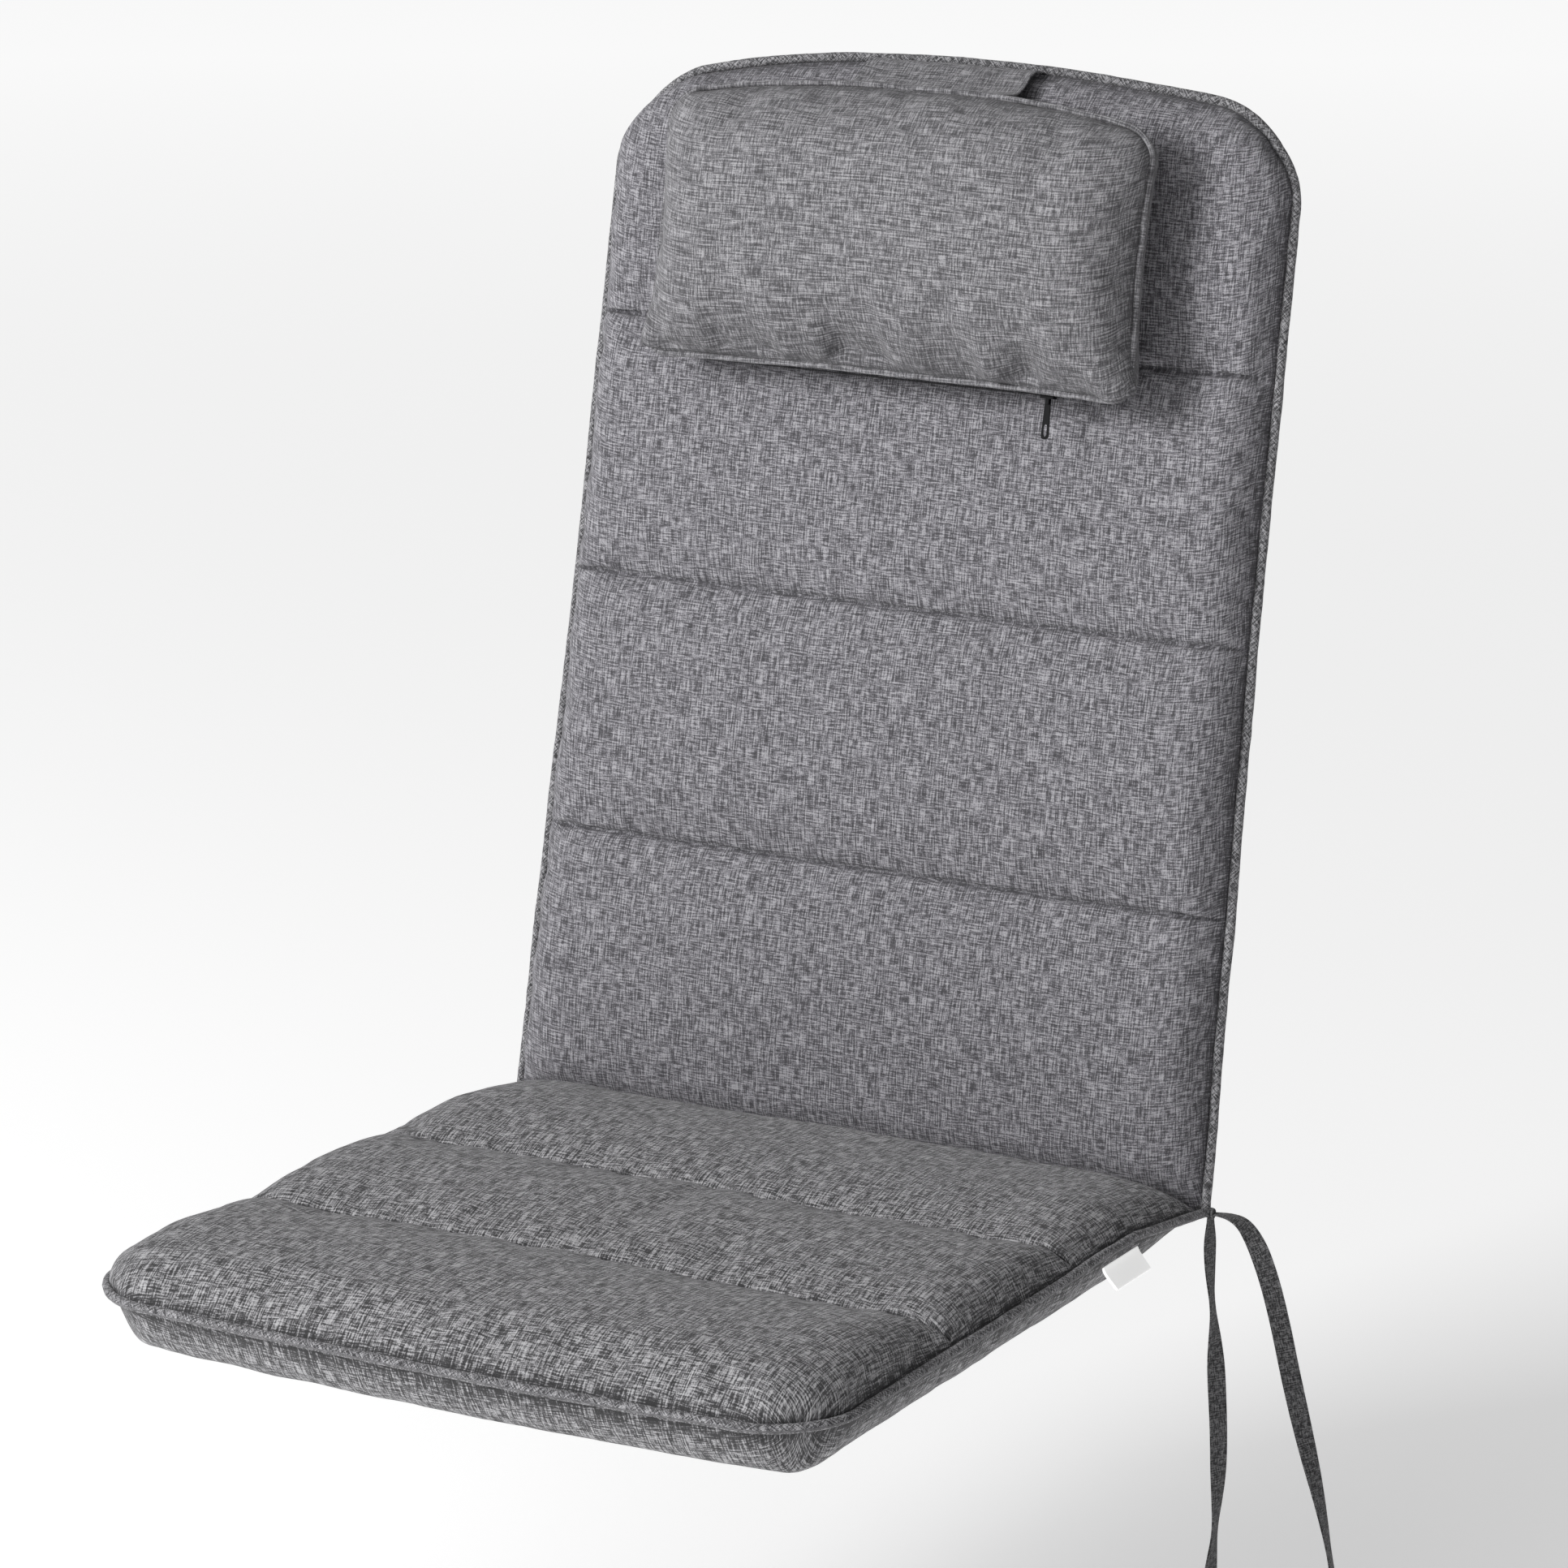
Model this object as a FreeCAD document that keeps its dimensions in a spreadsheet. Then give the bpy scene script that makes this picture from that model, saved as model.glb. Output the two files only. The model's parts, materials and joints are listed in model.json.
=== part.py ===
"""High-back garden chair cushion: a seat pad and a back pad joined at a sewn fold, with a head pillow.

Lengths are in millimetres. +X is to the right of somebody who faces the cushion, +Y is towards the
chair's back and +Z is up. The origin is the middle of the seat pad's flat underside.

Each pad is drawn flat in a frame of its own: X across, Y away from the fold, and Z out of the side
that is sat on or leant against, with the fold's axis as its X axis. A Placement then lays the seat
pad level and stands the back pad up. The head pillow, its flap and its zip are drawn in the back
pad's frame.
"""

import FreeCAD, Part

import math
import os

import Sketcher

SIZES = (
    # The two pads. The edge sizes are those of the piping's centre line.
    ("pad_width", 500, "width of both pads at the fold"),
    ("seat_length", 510, "fold to the middle of the front edge"),
    ("seat_narrowing", 0, "how much narrower the seat is at its front corners"),
    ("seat_arch", 8, "bow of the front edge"),
    ("seat_corner", 42, "radius of the front corners"),
    ("seat_upper", 22, "seat height above the piping"),
    ("seat_lower", 36, "seat depth below the piping"),
    ("seat_drop", 14, "how far the piping stands above the fold's axis"),
    ("seat_drop_run", 100, "length over which the piping comes down to the fold"),
    ("seat_taper_run", 90, "length over which the seat thins to the fold"),
    ("seat_lower_round", 16, "rounding of the underside's edge"),
    ("back_length", 696, "fold to the middle of the top edge"),
    ("back_narrowing", 18, "how much narrower the back is at its top corners"),
    ("back_arch", 26, "rise of the arched top edge"),
    ("back_corner", 50, "radius of the top corners"),
    ("back_upper", 24, "back padding in front of the piping"),
    ("back_lower", 25, "back padding behind the piping"),
    ("back_drop", 0, "how far the piping stands in front of the fold's axis"),
    ("back_drop_run", 65, "length over which the back padding reaches the fold"),
    ("back_taper_run", 65, "length over which the back thins to the fold"),
    ("back_lower_round", 20, "rounding of the rear edge"),
    ("back_lean", 11.5, "lean of the back from upright, in degrees"),
    ("upper_round", 16, "rounding of the padded edge in front"),
    ("fold_corner", 12, "radius of the corners beside the fold"),
    ("fold_gap", 4.5, "distance of the covers from the fold's axis"),
    # Cover, padding and seams.
    ("fabric", 1.2, "thickness of the cover"),
    ("room", 0.3, "room between layers"),
    ("wadding", 9, "thickness of the quilted wadding"),
    ("piping_radius", 2.6, "outside radius of the piping"),
    ("piping_wall", 0.8, "thickness of the piping's sleeve"),
    ("piping_end", 8, "distance of the piping's ends from the fold's axis"),
    ("seam_radius", 2.2, "radius of the rolled seam along the fold"),
    ("quilt_depth", 5, "depth of a quilting groove"),
    ("quilt_half_width", 7, "half the width of a quilting groove"),
    ("thread_radius", 0.5, "radius of a run of stitches"),
    ("seat_quilt_rear", 176, "fold to the seat's rear quilting line"),
    ("seat_quilt_front", 333, "fold to the seat's front quilting line"),
    ("back_quilt_low", 183, "fold to the back's lowest quilting line"),
    ("back_quilt_mid", 351, "fold to the back's middle quilting line"),
    ("back_quilt_high", 519, "fold to the back's highest quilting line"),
    # Head pillow and its flap.
    ("pillow_width", 342, "width of the pillow over its welt's centre line"),
    ("pillow_height", 178, "height of the pillow over its welt's centre line"),
    ("pillow_depth", 38, "half the thickness of the pillow"),
    ("pillow_corner", 16, "corner radius of the pillow"),
    ("pillow_round", 24, "rounding of the pillow's faces"),
    ("pillow_drop", 24, "top of the back pad to the top of the pillow"),
    ("pillow_rest", 0.5, "room between the pillow and the back pad"),
    ("welt_radius", 1.5, "radius of the pillow's edge welt"),
    ("flap_width", 118, "width of the flap that holds the pillow"),
    ("flap_fabric", 1.4, "thickness of the doubled flap"),
    ("flap_rise", 10, "length of the flap's first stretch off the seam"),
    # Zip along the bottom of the pillow.
    ("zip_length", 260, "length of the zip's tapes"),
    ("tape_width", 5, "visible width of one zip tape"),
    ("tape_thick", 0.6, "thickness of a zip tape"),
    ("coil_radius", 0.7, "radius of one row of the zip's coil"),
    ("zip_behind", 7.5, "distance of the zip behind the pillow's welt"),
    ("slider_home", 112, "slider's distance from the middle when the zip is shut"),
    ("slider_length", 9, "length of the slider along the zip"),
    ("slider_wall", 1.0, "thickness of the slider's walls"),
    ("pin_radius", 0.6, "radius of the slider's pin"),
    ("pin_play", 0.05, "radial play of the puller on the pin"),
    ("ear_width", 2.4, "width of the slider's ears along the zip"),
    ("puller_length", 23, "length of the puller below its pin"),
    ("puller_top", 3.6, "width of the puller at the pin"),
    ("puller_foot", 5.2, "width of the puller at its foot"),
    ("puller_thick", 1.0, "thickness of the puller"),
    ("slot_half", 1.3, "half the width of the slot in the puller"),
    ("slot_from_foot", 1.8, "puller's foot to its slot"),
    ("slot_length", 7.4, "length of the slot in the puller"),
    # Side label and ties.
    ("label_length", 44, "length of the label along the seam"),
    ("label_depth", 13, "how far the folded label stands out of the seam"),
    ("label_fabric", 0.4, "thickness of one layer of the label"),
    ("label_from_fold", 120, "fold to the middle of the label"),
    ("label_tilt", 38, "droop of the label below level, in degrees"),
    ("tack_half", 3, "half the thickness of the tack that holds the ties"),
    ("tack_length", 9, "length of the tack"),
    ("tie_radius", 2.5, "radius of the round stand-in for a tie"),
)

# Routes of the two ties, from the tack downwards, measured from the middle of the tack's outer face.
TIE_ROUTES = {
    "tie_inner": (
        (-2.9, 0.0, -3.4),
        (-3.4, 0.5, -19.0),
        (-2.4, 0.0, -42.0),
        (1.1, -1.0, -70.0),
        (4.1, -2.0, -106.0),
        (6.6, -2.0, -147.0),
        (6.1, -1.5, -190.0),
        (2.6, -2.0, -231.0),
        (0.1, -3.0, -269.0),
        (0.6, -3.0, -301.0),
    ),
    "tie_outer": (
        (0.5, 0.0, 0.0),
        (16.6, 1.0, 1.5),
        (29.6, 2.0, -12.5),
        (38.6, 3.0, -36.0),
        (45.6, 4.0, -66.0),
        (51.6, 5.0, -99.0),
        (62.1, 5.0, -138.0),
        (74.6, 4.0, -180.0),
        (84.1, 3.0, -223.0),
        (91.6, 2.0, -264.0),
    ),
}
RUN_SHARE = 0.45  # share of a shorter run that an arc may use on each side of its corner

doc = FreeCAD.newDocument("ChairCushion")
sheet = doc.addObject("Spreadsheet::Sheet", "Sizes")
for row, (alias, size, meaning) in enumerate(SIZES, start=1):
    sheet.set("A%d" % row, meaning)
    sheet.set("B%d" % row, str(size))
    sheet.setAlias("B%d" % row, alias)
doc.recompute()

subparts = []

FOLD_Y = "(Sizes.seat_length / 2)"
FOLD_Z = "(Sizes.seat_lower - Sizes.seat_drop)"
PANEL_INSET = "(Sizes.piping_radius + Sizes.room)"
SEAM_HALF = "(Sizes.room / 2)"
OVERSHOOT = 30.0  # how far cutting shapes run past what they cut


def value(expression):
    """The number that an expression on the sheet stands for."""
    return float(sheet.evalExpression(expression))


def origin_plane(body, role):
    """One of the body's own origin planes, such as XY_Plane."""
    return next(item for item in body.Origin.OriginFeatures if item.Role == role)


def new_sketch(body, name, role, offset="0"):
    """An empty sketch on an origin plane of the body, moved along the plane's normal."""
    sketch = body.newObject("Sketcher::SketchObject", name)
    sketch.AttachmentSupport = [(origin_plane(body, role), "")]
    sketch.MapMode = "FlatFace"
    sketch.setExpression("AttachmentOffset.Base.z", offset)
    return sketch


def pin_point(sketch, geometry, point, across, up):
    """Holds a point of a sketch at a place that two expressions give."""
    for kind, expression in (("DistanceX", across), ("DistanceY", up)):
        constraint = Sketcher.Constraint(kind, -1, 1, geometry, point, value(expression))
        number = sketch.addConstraint(constraint)
        sketch.setExpression("Constraints[%d]" % number, expression)


def add_polygon(sketch, corners):
    """A closed polygon whose corners are pairs of expressions."""
    first = sketch.GeometryCount
    points = [FreeCAD.Vector(value(across), value(up), 0) for across, up in corners]
    count = len(points)
    for index in range(count):
        sketch.addGeometry(Part.LineSegment(points[index], points[(index + 1) % count]), False)
    for index in range(count):
        following = first + (index + 1) % count
        sketch.addConstraint(Sketcher.Constraint("Coincident", first + index, 2, following, 1))
    for index, (across, up) in enumerate(corners):
        pin_point(sketch, first + index, 1, across, up)


def add_circle(sketch, across, up, radius):
    """A circle whose centre and radius are expressions."""
    centre = FreeCAD.Vector(value(across), value(up), 0)
    circle = Part.Circle(centre, FreeCAD.Vector(0, 0, 1), value(radius))
    geometry = sketch.addGeometry(circle, False)
    number = sketch.addConstraint(Sketcher.Constraint("Radius", geometry, value(radius)))
    sketch.setExpression("Constraints[%d]" % number, radius)
    pin_point(sketch, geometry, 3, across, up)


def add_arched_outline(sketch, near_half, far_half, near, far, arch):
    """Straight near edge, two sides and an arched far edge whose middle is at far."""
    corners = (
        ("-(%s)" % near_half, near),
        (near_half, near),
        (far_half, "%s - %s" % (far, arch)),
        ("-(%s)" % far_half, "%s - %s" % (far, arch)),
    )
    points = [FreeCAD.Vector(value(across), value(up), 0) for across, up in corners]
    crown = FreeCAD.Vector(0, value(far), 0)
    sketch.addGeometry(Part.LineSegment(points[0], points[1]), False)
    sketch.addGeometry(Part.LineSegment(points[1], points[2]), False)
    sketch.addGeometry(Part.Arc(points[2], crown, points[3]), False)
    sketch.addGeometry(Part.LineSegment(points[3], points[0]), False)
    sketch.addConstraint(Sketcher.Constraint("Coincident", 0, 2, 1, 1))
    sketch.addConstraint(Sketcher.Constraint("Coincident", 1, 2, 2, 1))
    sketch.addConstraint(Sketcher.Constraint("Coincident", 2, 2, 3, 1))
    sketch.addConstraint(Sketcher.Constraint("Coincident", 3, 2, 0, 1))
    pin_point(sketch, 0, 1, *corners[0])
    pin_point(sketch, 0, 2, *corners[1])
    pin_point(sketch, 1, 2, *corners[2])
    pin_point(sketch, 3, 1, *corners[3])
    radius = "((%s) ^ 2 + (%s) ^ 2) / (2 * (%s))" % (far_half, arch, arch)
    number = sketch.addConstraint(Sketcher.Constraint("Radius", 2, value(radius)))
    sketch.setExpression("Constraints[%d]" % number, radius)


def pad_sketch(body, sketch, name, length):
    """A solid that stands on the sketch."""
    pad = body.newObject("PartDesign::Pad", name)
    pad.Profile = sketch
    pad.setExpression("Length", length)
    doc.recompute()
    return pad


def pocket_through(body, sketch, name):
    """Cuts a sketch through the whole body, both ways, and checks that it took something away."""
    before = body.Tip.Shape.Volume
    pocket = body.newObject("PartDesign::Pocket", name)
    pocket.Profile = sketch
    pocket.Type = "ThroughAll"
    pocket.Midplane = True
    doc.recompute()
    if pocket.Shape.Volume >= before:
        raise RuntimeError(body.Label + ": " + name + " cuts nothing")
    return pocket


def round_edges(body, name, radius, wanted):
    """Rounds the edges of the body's last feature that the test accepts."""
    base = body.Tip
    names = [
        "Edge%d" % number
        for number, edge in enumerate(base.Shape.Edges, start=1)
        if wanted(edge.BoundBox)
    ]
    fillet = body.newObject("PartDesign::Fillet", name)
    fillet.Base = (base, names)
    fillet.setExpression("Radius", radius)
    doc.recompute()
    return fillet


def near_to(first, second):
    """Whether two lengths are the same to within rounding."""
    return abs(first - second) < 1e-4


def round_block(body, label, ends, far_radius, near_radius, high_radius, low_radius):
    """Rounds a block's upright corners, and then its upper and lower edges all the way round."""
    bounds = body.Tip.Shape.BoundBox
    middle = (bounds.YMin + bounds.YMax) / 2

    def upright(box):
        return box.XLength < 1 and box.YLength < 1

    round_edges(body, label + "_far", far_radius, lambda box: upright(box) and box.YMin > middle)
    round_edges(body, label + "_near", near_radius, lambda box: upright(box) and box.YMax < middle)
    low, high = (value(end) for end in ends)
    for name, level, radius in (("_high", high, high_radius), ("_low", low, low_radius)):
        round_edges(
            body,
            label + name,
            radius,
            lambda box: near_to(box.ZMin, level) and near_to(box.ZMax, level),
        )


def stand_back(item):
    """Stands an item that is drawn in the back pad's frame up on the fold."""
    upright = FreeCAD.Rotation(FreeCAD.Vector(1, 0, 0), 90)
    item.Placement = FreeCAD.Placement(FreeCAD.Vector(), upright)
    item.setExpression("Placement.Base.y", FOLD_Y)
    item.setExpression("Placement.Base.z", FOLD_Z)
    item.setExpression("Placement.Rotation.Angle", "90 - Sizes.back_lean")


def lay_seat(item):
    """Lays an item that is drawn in the seat pad's frame level, with the fold at the rear."""
    half_turn = FreeCAD.Rotation(FreeCAD.Vector(0, 0, 1), 180)
    item.Placement = FreeCAD.Placement(FreeCAD.Vector(), half_turn)
    item.setExpression("Placement.Base.y", FOLD_Y)
    item.setExpression("Placement.Base.z", FOLD_Z)


PLACE = {"seat": lay_seat, "back": stand_back}


def keep(item, pad):
    """Places a finished sub-part with its pad and lists it for export."""
    PLACE[pad](item)
    subparts.append(item)


def feature(label, shape):
    """A sub-part that holds a ready-made shape."""
    item = doc.addObject("Part::Feature", label)
    item.Shape = shape
    return item


# --- The two quilted pads ---------------------------------------------------------------------


def seam_level(pad):
    """Height of the piping over the fold's axis, away from the fold."""
    return "Sizes.%s_drop" % pad


def top_level(pad, depth="0"):
    """Height of the padded side, less a depth into it."""
    return "(Sizes.%s_drop + Sizes.%s_upper - (%s))" % (pad, pad, depth)


def bottom_level(pad, depth="0"):
    """Height of the flat side, plus a depth into it."""
    return "(Sizes.%s_drop - Sizes.%s_lower + (%s))" % (pad, pad, depth)


def far_width(pad):
    """Width of a pad between its far corners."""
    return "(Sizes.pad_width - Sizes.%s_narrowing)" % pad


def pad_block(label, pad, inset, depth):
    """The rounded outline of a pad, taken in by inset at its edge and by depth at its faces."""
    body = doc.addObject("PartDesign::Body", label)
    low, high = bottom_level(pad, depth), top_level(pad, depth)
    outline = new_sketch(body, label + "_outline", "XY_Plane", low)
    add_arched_outline(
        outline,
        "Sizes.pad_width / 2 - (%s)" % inset,
        "%s / 2 - (%s)" % (far_width(pad), inset),
        "Sizes.fold_gap + (%s)" % depth,
        "Sizes.%s_length - (%s)" % (pad, inset),
        "Sizes.%s_arch" % pad,
    )
    pad_sketch(body, outline, label + "_block", "%s - %s" % (high, low))
    round_block(
        body,
        label,
        (low, high),
        "Sizes.%s_corner - (%s)" % (pad, inset),
        "Sizes.fold_corner - (%s)" % inset,
        "Sizes.upper_round - (%s)" % depth,
        "Sizes.%s_lower_round - (%s)" % (pad, depth),
    )
    return body


QUILTING = {
    "seat": {"rear": "Sizes.seat_quilt_rear", "front": "Sizes.seat_quilt_front"},
    "back": {
        "low": "Sizes.back_quilt_low",
        "mid": "Sizes.back_quilt_mid",
        "high": "Sizes.back_quilt_high",
    },
}


def add_quilt_grooves(sketch, pad, depth):
    """One V groove for each quilting line, its walls carried on above the surface."""
    for line in QUILTING[pad].values():
        above = "%s + Sizes.quilt_depth" % top_level(pad, depth)
        apex = "%s - Sizes.quilt_depth" % top_level(pad, depth)
        add_polygon(
            sketch,
            (
                (line, apex),
                ("%s + 2 * Sizes.quilt_half_width" % line, above),
                ("%s - 2 * Sizes.quilt_half_width" % line, above),
            ),
        )


def add_taper(sketch, pad, depth):
    """Everything above the slope that thins a pad's upper side down to the fold's axis."""
    run, rise = "Sizes.%s_taper_run" % pad, "(Sizes.%s_drop + Sizes.%s_upper)" % (pad, pad)
    start = "-%g" % OVERSHOOT
    foot = "-%g * %s / %s - (%s)" % (OVERSHOOT, rise, run, depth)
    add_polygon(
        sketch,
        (
            (start, foot),
            ("2 * %s" % run, "2 * %s - (%s)" % (rise, depth)),
            (start, "2 * %s - (%s)" % (rise, depth)),
        ),
    )


def add_below(sketch, pad, depth):
    """Everything under a face that lies a depth below the padded side and follows its taper."""
    run, rise = "Sizes.%s_taper_run" % pad, "(Sizes.%s_drop + Sizes.%s_upper)" % (pad, pad)
    far = "Sizes.%s_length + %g" % (pad, OVERSHOOT)
    floor = "%s - %g" % (bottom_level(pad), OVERSHOOT)
    foot = "-%g * %s / %s - (%s)" % (OVERSHOOT, rise, run, depth)
    add_polygon(
        sketch,
        (
            ("-%g" % OVERSHOOT, foot),
            (run, "%s - (%s)" % (rise, depth)),
            (far, "%s - (%s)" % (rise, depth)),
            (far, floor),
            ("-%g" % OVERSHOOT, floor),
        ),
    )


def add_above(sketch, pad, depth):
    """Everything over a face that lies a depth below the padded side and follows its taper."""
    run, rise = "Sizes.%s_taper_run" % pad, "(Sizes.%s_drop + Sizes.%s_upper)" % (pad, pad)
    far = "Sizes.%s_length + %g" % (pad, OVERSHOOT)
    roof = "%s + %g" % (rise, OVERSHOOT)
    foot = "-%g * %s / %s - (%s)" % (OVERSHOOT, rise, run, depth)
    add_polygon(
        sketch,
        (
            ("-%g" % OVERSHOOT, foot),
            (run, "%s - (%s)" % (rise, depth)),
            (far, "%s - (%s)" % (rise, depth)),
            (far, roof),
            ("-%g" % OVERSHOOT, roof),
        ),
    )


def add_beyond_seam(sketch, pad, side):
    """Everything on one side (+1 above, -1 below) of the seam, which dips towards the fold."""
    drop, run = seam_level(pad), "Sizes.%s_drop_run" % pad
    shift = "%s %s" % ("+" if side < 0 else "-", SEAM_HALF)
    far = "Sizes.%s_length + %g" % (pad, OVERSHOOT)
    limit = {-1: bottom_level(pad), 1: top_level(pad)}[side]
    edge = "%s %s %g" % (limit, "-" if side < 0 else "+", OVERSHOOT)
    add_polygon(
        sketch,
        (
            ("-%g" % OVERSHOOT, "-%g * %s / %s %s" % (OVERSHOOT, drop, run, shift)),
            (run, "%s %s" % (drop, shift)),
            (far, "%s %s" % (drop, shift)),
            (far, edge),
            ("-%g" % OVERSHOOT, edge),
        ),
    )


def side_cut(body, name, *shapes):
    """Cuts each side-view shape through the body, as one sketch and one pocket each."""
    for number, (add_shape, arguments) in enumerate(shapes):
        sketch = new_sketch(body, "%s_%s_%d" % (body.Label, name, number), "YZ_Plane")
        add_shape(sketch, *arguments)
        pocket_through(body, sketch, "%s_%s_cut_%d" % (body.Label, name, number))


def make_covers(pad, upper_label, lower_label):
    """The two halves of a pad's cover: hollow shells that meet at the piping."""
    inner_inset = "%s + Sizes.fabric" % PANEL_INSET
    hollow = pad_block(pad + "_hollow", pad, inner_inset, "Sizes.fabric")
    depth = "Sizes.fabric"
    side_cut(hollow, "top", (add_quilt_grooves, (pad, depth)), (add_taper, (pad, depth)))
    upper = pad_block(upper_label + "_outer", pad, PANEL_INSET, "0")
    side_cut(upper, "top", (add_quilt_grooves, (pad, "0")), (add_taper, (pad, "0")))
    side_cut(upper, "seam", (add_beyond_seam, (pad, -1)))
    lower = pad_block(lower_label + "_outer", pad, PANEL_INSET, "0")
    side_cut(lower, "seam", (add_beyond_seam, (pad, 1)))
    for label, outer in ((upper_label, upper), (lower_label, lower)):
        shell = doc.addObject("Part::Cut", label)
        shell.Base, shell.Tool = outer, hollow
        keep(shell, pad)


def make_padding(pad, wadding_label, foam_label):
    """The foam slab, and over it the wadding that the quilting gathers."""
    depth = "(Sizes.fabric + Sizes.room)"
    inset = "%s + %s" % (PANEL_INSET, depth)
    under_wadding = "(%s + Sizes.wadding)" % depth
    wadding = pad_block(wadding_label, pad, inset, depth)
    side_cut(wadding, "top", (add_quilt_grooves, (pad, depth)), (add_taper, (pad, depth)))
    side_cut(wadding, "under", (add_below, (pad, under_wadding)))
    foam = pad_block(foam_label, pad, inset, depth)
    side_cut(foam, "top", (add_above, (pad, "%s + Sizes.room" % under_wadding)))
    keep(wadding, pad)
    keep(foam, pad)


def make_quilting(pad, label):
    """A run of stitches along the bottom of each quilting groove."""
    for name, line in QUILTING[pad].items():
        run = doc.addObject("Part::Cylinder", "%s_%s" % (label, name))
        half = "(%s / 2 - Sizes.upper_round)" % far_width(pad)
        run.setExpression("Radius", "Sizes.thread_radius")
        run.setExpression("Height", "2 * %s" % half)
        level = "%s - Sizes.quilt_depth + 1.6 * Sizes.thread_radius" % top_level(pad)
        turn = FreeCAD.Rotation(FreeCAD.Vector(0, 1, 0), 90)
        local = FreeCAD.Vector(-value(half), value(line), value(level))
        place_in_pad(run, pad, local, turn)
        subparts.append(run)


def place_in_pad(item, pad, local, turn):
    """Places a primitive at a point and turn given in a pad's frame."""
    carrier = doc.addObject("Part::Feature", "carrier")
    PLACE[pad](carrier)
    doc.recompute()
    item.Placement = carrier.Placement.multiply(FreeCAD.Placement(local, turn))
    doc.removeObject(carrier.Name)


# --- Piping, fold seam, label and ties --------------------------------------------------------


def pad_edge_wire(pad):
    """The piping's centre line: up one side from the fold, across the far edge and down again."""
    width, end_width = value("Sizes.pad_width"), value(far_width(pad))
    length, arch = value("Sizes.%s_length" % pad), value("Sizes.%s_arch" % pad)
    drop, run = value(seam_level(pad)), value("Sizes.%s_drop_run" % pad)
    near = value("Sizes.piping_end")

    def side(sign, along):
        half = (width + (end_width - width) * along / (length - arch)) / 2
        return FreeCAD.Vector(sign * half, along, min(drop, drop * along / run))

    corners = [FreeCAD.Vector(sign * end_width / 2, length - arch, drop) for sign in (1, -1)]
    crown = FreeCAD.Vector(0, length, drop)
    loop = Part.Wire(
        [
            Part.makeLine(side(-1, run), side(1, run)),
            Part.makeLine(side(1, run), corners[0]),
            Part.Arc(corners[0], crown, corners[1]).toShape(),
            Part.makeLine(corners[1], side(-1, run)),
        ]
    )
    slab = Part.Face(loop).extrude(FreeCAD.Vector(0, 0, 1))
    upright = [
        edge
        for edge in slab.Edges
        if near_to(edge.BoundBox.ZLength, 1) and edge.BoundBox.YMin > length / 2
    ]
    slab = slab.makeFillet(value("Sizes.%s_corner" % pad), upright)
    rim = [
        edge
        for edge in slab.Edges
        if near_to(edge.BoundBox.ZMax, drop) and edge.BoundBox.YMax > run + 1
    ]
    ends = [Part.makeLine(side(sign, near), side(sign, run)) for sign in (1, -1)]
    return Part.Wire(Part.__sortEdges__(rim + ends))


def tube_along(wire, radius):
    """A round rod along a wire."""
    edge = wire.OrderedEdges[0]
    start = wire.OrderedVertexes[0].Point
    near_first = (edge.valueAt(edge.FirstParameter) - start).Length < 1e-6
    tangent = edge.tangentAt(edge.FirstParameter if near_first else edge.LastParameter)
    circle = Part.Wire(Part.makeCircle(radius, start, tangent))
    mitred = 1
    return wire.makePipeShell([circle], True, False, mitred)


def make_piping(pad):
    """The fabric sleeve around a pad's edge, and the filler cord inside it."""
    wire = pad_edge_wire(pad)
    radius, wall = value("Sizes.piping_radius"), value("Sizes.piping_wall")
    clear = value("Sizes.room")
    sleeve = tube_along(wire, radius).cut(tube_along(wire, radius - wall))
    keep(feature(pad + "_piping_sleeve", sleeve), pad)
    keep(feature(pad + "_piping_cord", tube_along(wire, radius - wall - clear)), pad)


def make_fold_seam():
    """The rolled seam along the fold, which is the hinge of the two pads."""
    seam = doc.addObject("Part::Cylinder", "fold_seam")
    half = "(Sizes.pad_width / 2 - %s)" % PANEL_INSET
    seam.setExpression("Radius", "Sizes.seam_radius")
    seam.setExpression("Height", "2 * %s" % half)
    lengthwise = FreeCAD.Rotation(FreeCAD.Vector(0, 1, 0), 90)
    seam.Placement = FreeCAD.Placement(FreeCAD.Vector(), lengthwise)
    seam.setExpression("Placement.Base.x", "-%s" % half)
    seam.setExpression("Placement.Base.y", FOLD_Y)
    seam.setExpression("Placement.Base.z", FOLD_Z)
    subparts.append(seam)


def make_label():
    """A blank fabric tag, folded once, which hangs out of the seat's right-hand seam."""
    body = doc.addObject("PartDesign::Body", "seat_label")
    sketch = new_sketch(body, "label_section", "XZ_Plane")
    layer, depth = "Sizes.label_fabric", "Sizes.label_depth"
    add_polygon(
        sketch,
        (
            ("0", "0"),
            (depth, "0"),
            (depth, "3 * %s" % layer),
            ("0", "3 * %s" % layer),
            ("0", "2 * %s" % layer),
            ("%s - %s" % (depth, layer), "2 * %s" % layer),
            ("%s - %s" % (depth, layer), layer),
            ("0", layer),
        ),
    )
    pad_sketch(body, sketch, "label_pad", "Sizes.label_length")
    droop = FreeCAD.Rotation(FreeCAD.Vector(0, 1, 0), value("Sizes.label_tilt"))
    body.Placement = FreeCAD.Placement(FreeCAD.Vector(), droop)
    body.setExpression("Placement.Rotation.Angle", "Sizes.label_tilt")
    body.setExpression("Placement.Base.x", "Sizes.pad_width / 2 - %s + Sizes.room" % PANEL_INSET)
    middle = "%s - Sizes.label_from_fold" % FOLD_Y
    body.setExpression("Placement.Base.y", "%s + Sizes.label_length / 2" % middle)
    height = "Sizes.seat_lower - Sizes.piping_radius - 4 * Sizes.label_fabric - Sizes.room"
    body.setExpression("Placement.Base.z", height)
    subparts.append(body)


TACK_START = "(Sizes.pad_width / 2 - %s + Sizes.room)" % PANEL_INSET


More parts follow.
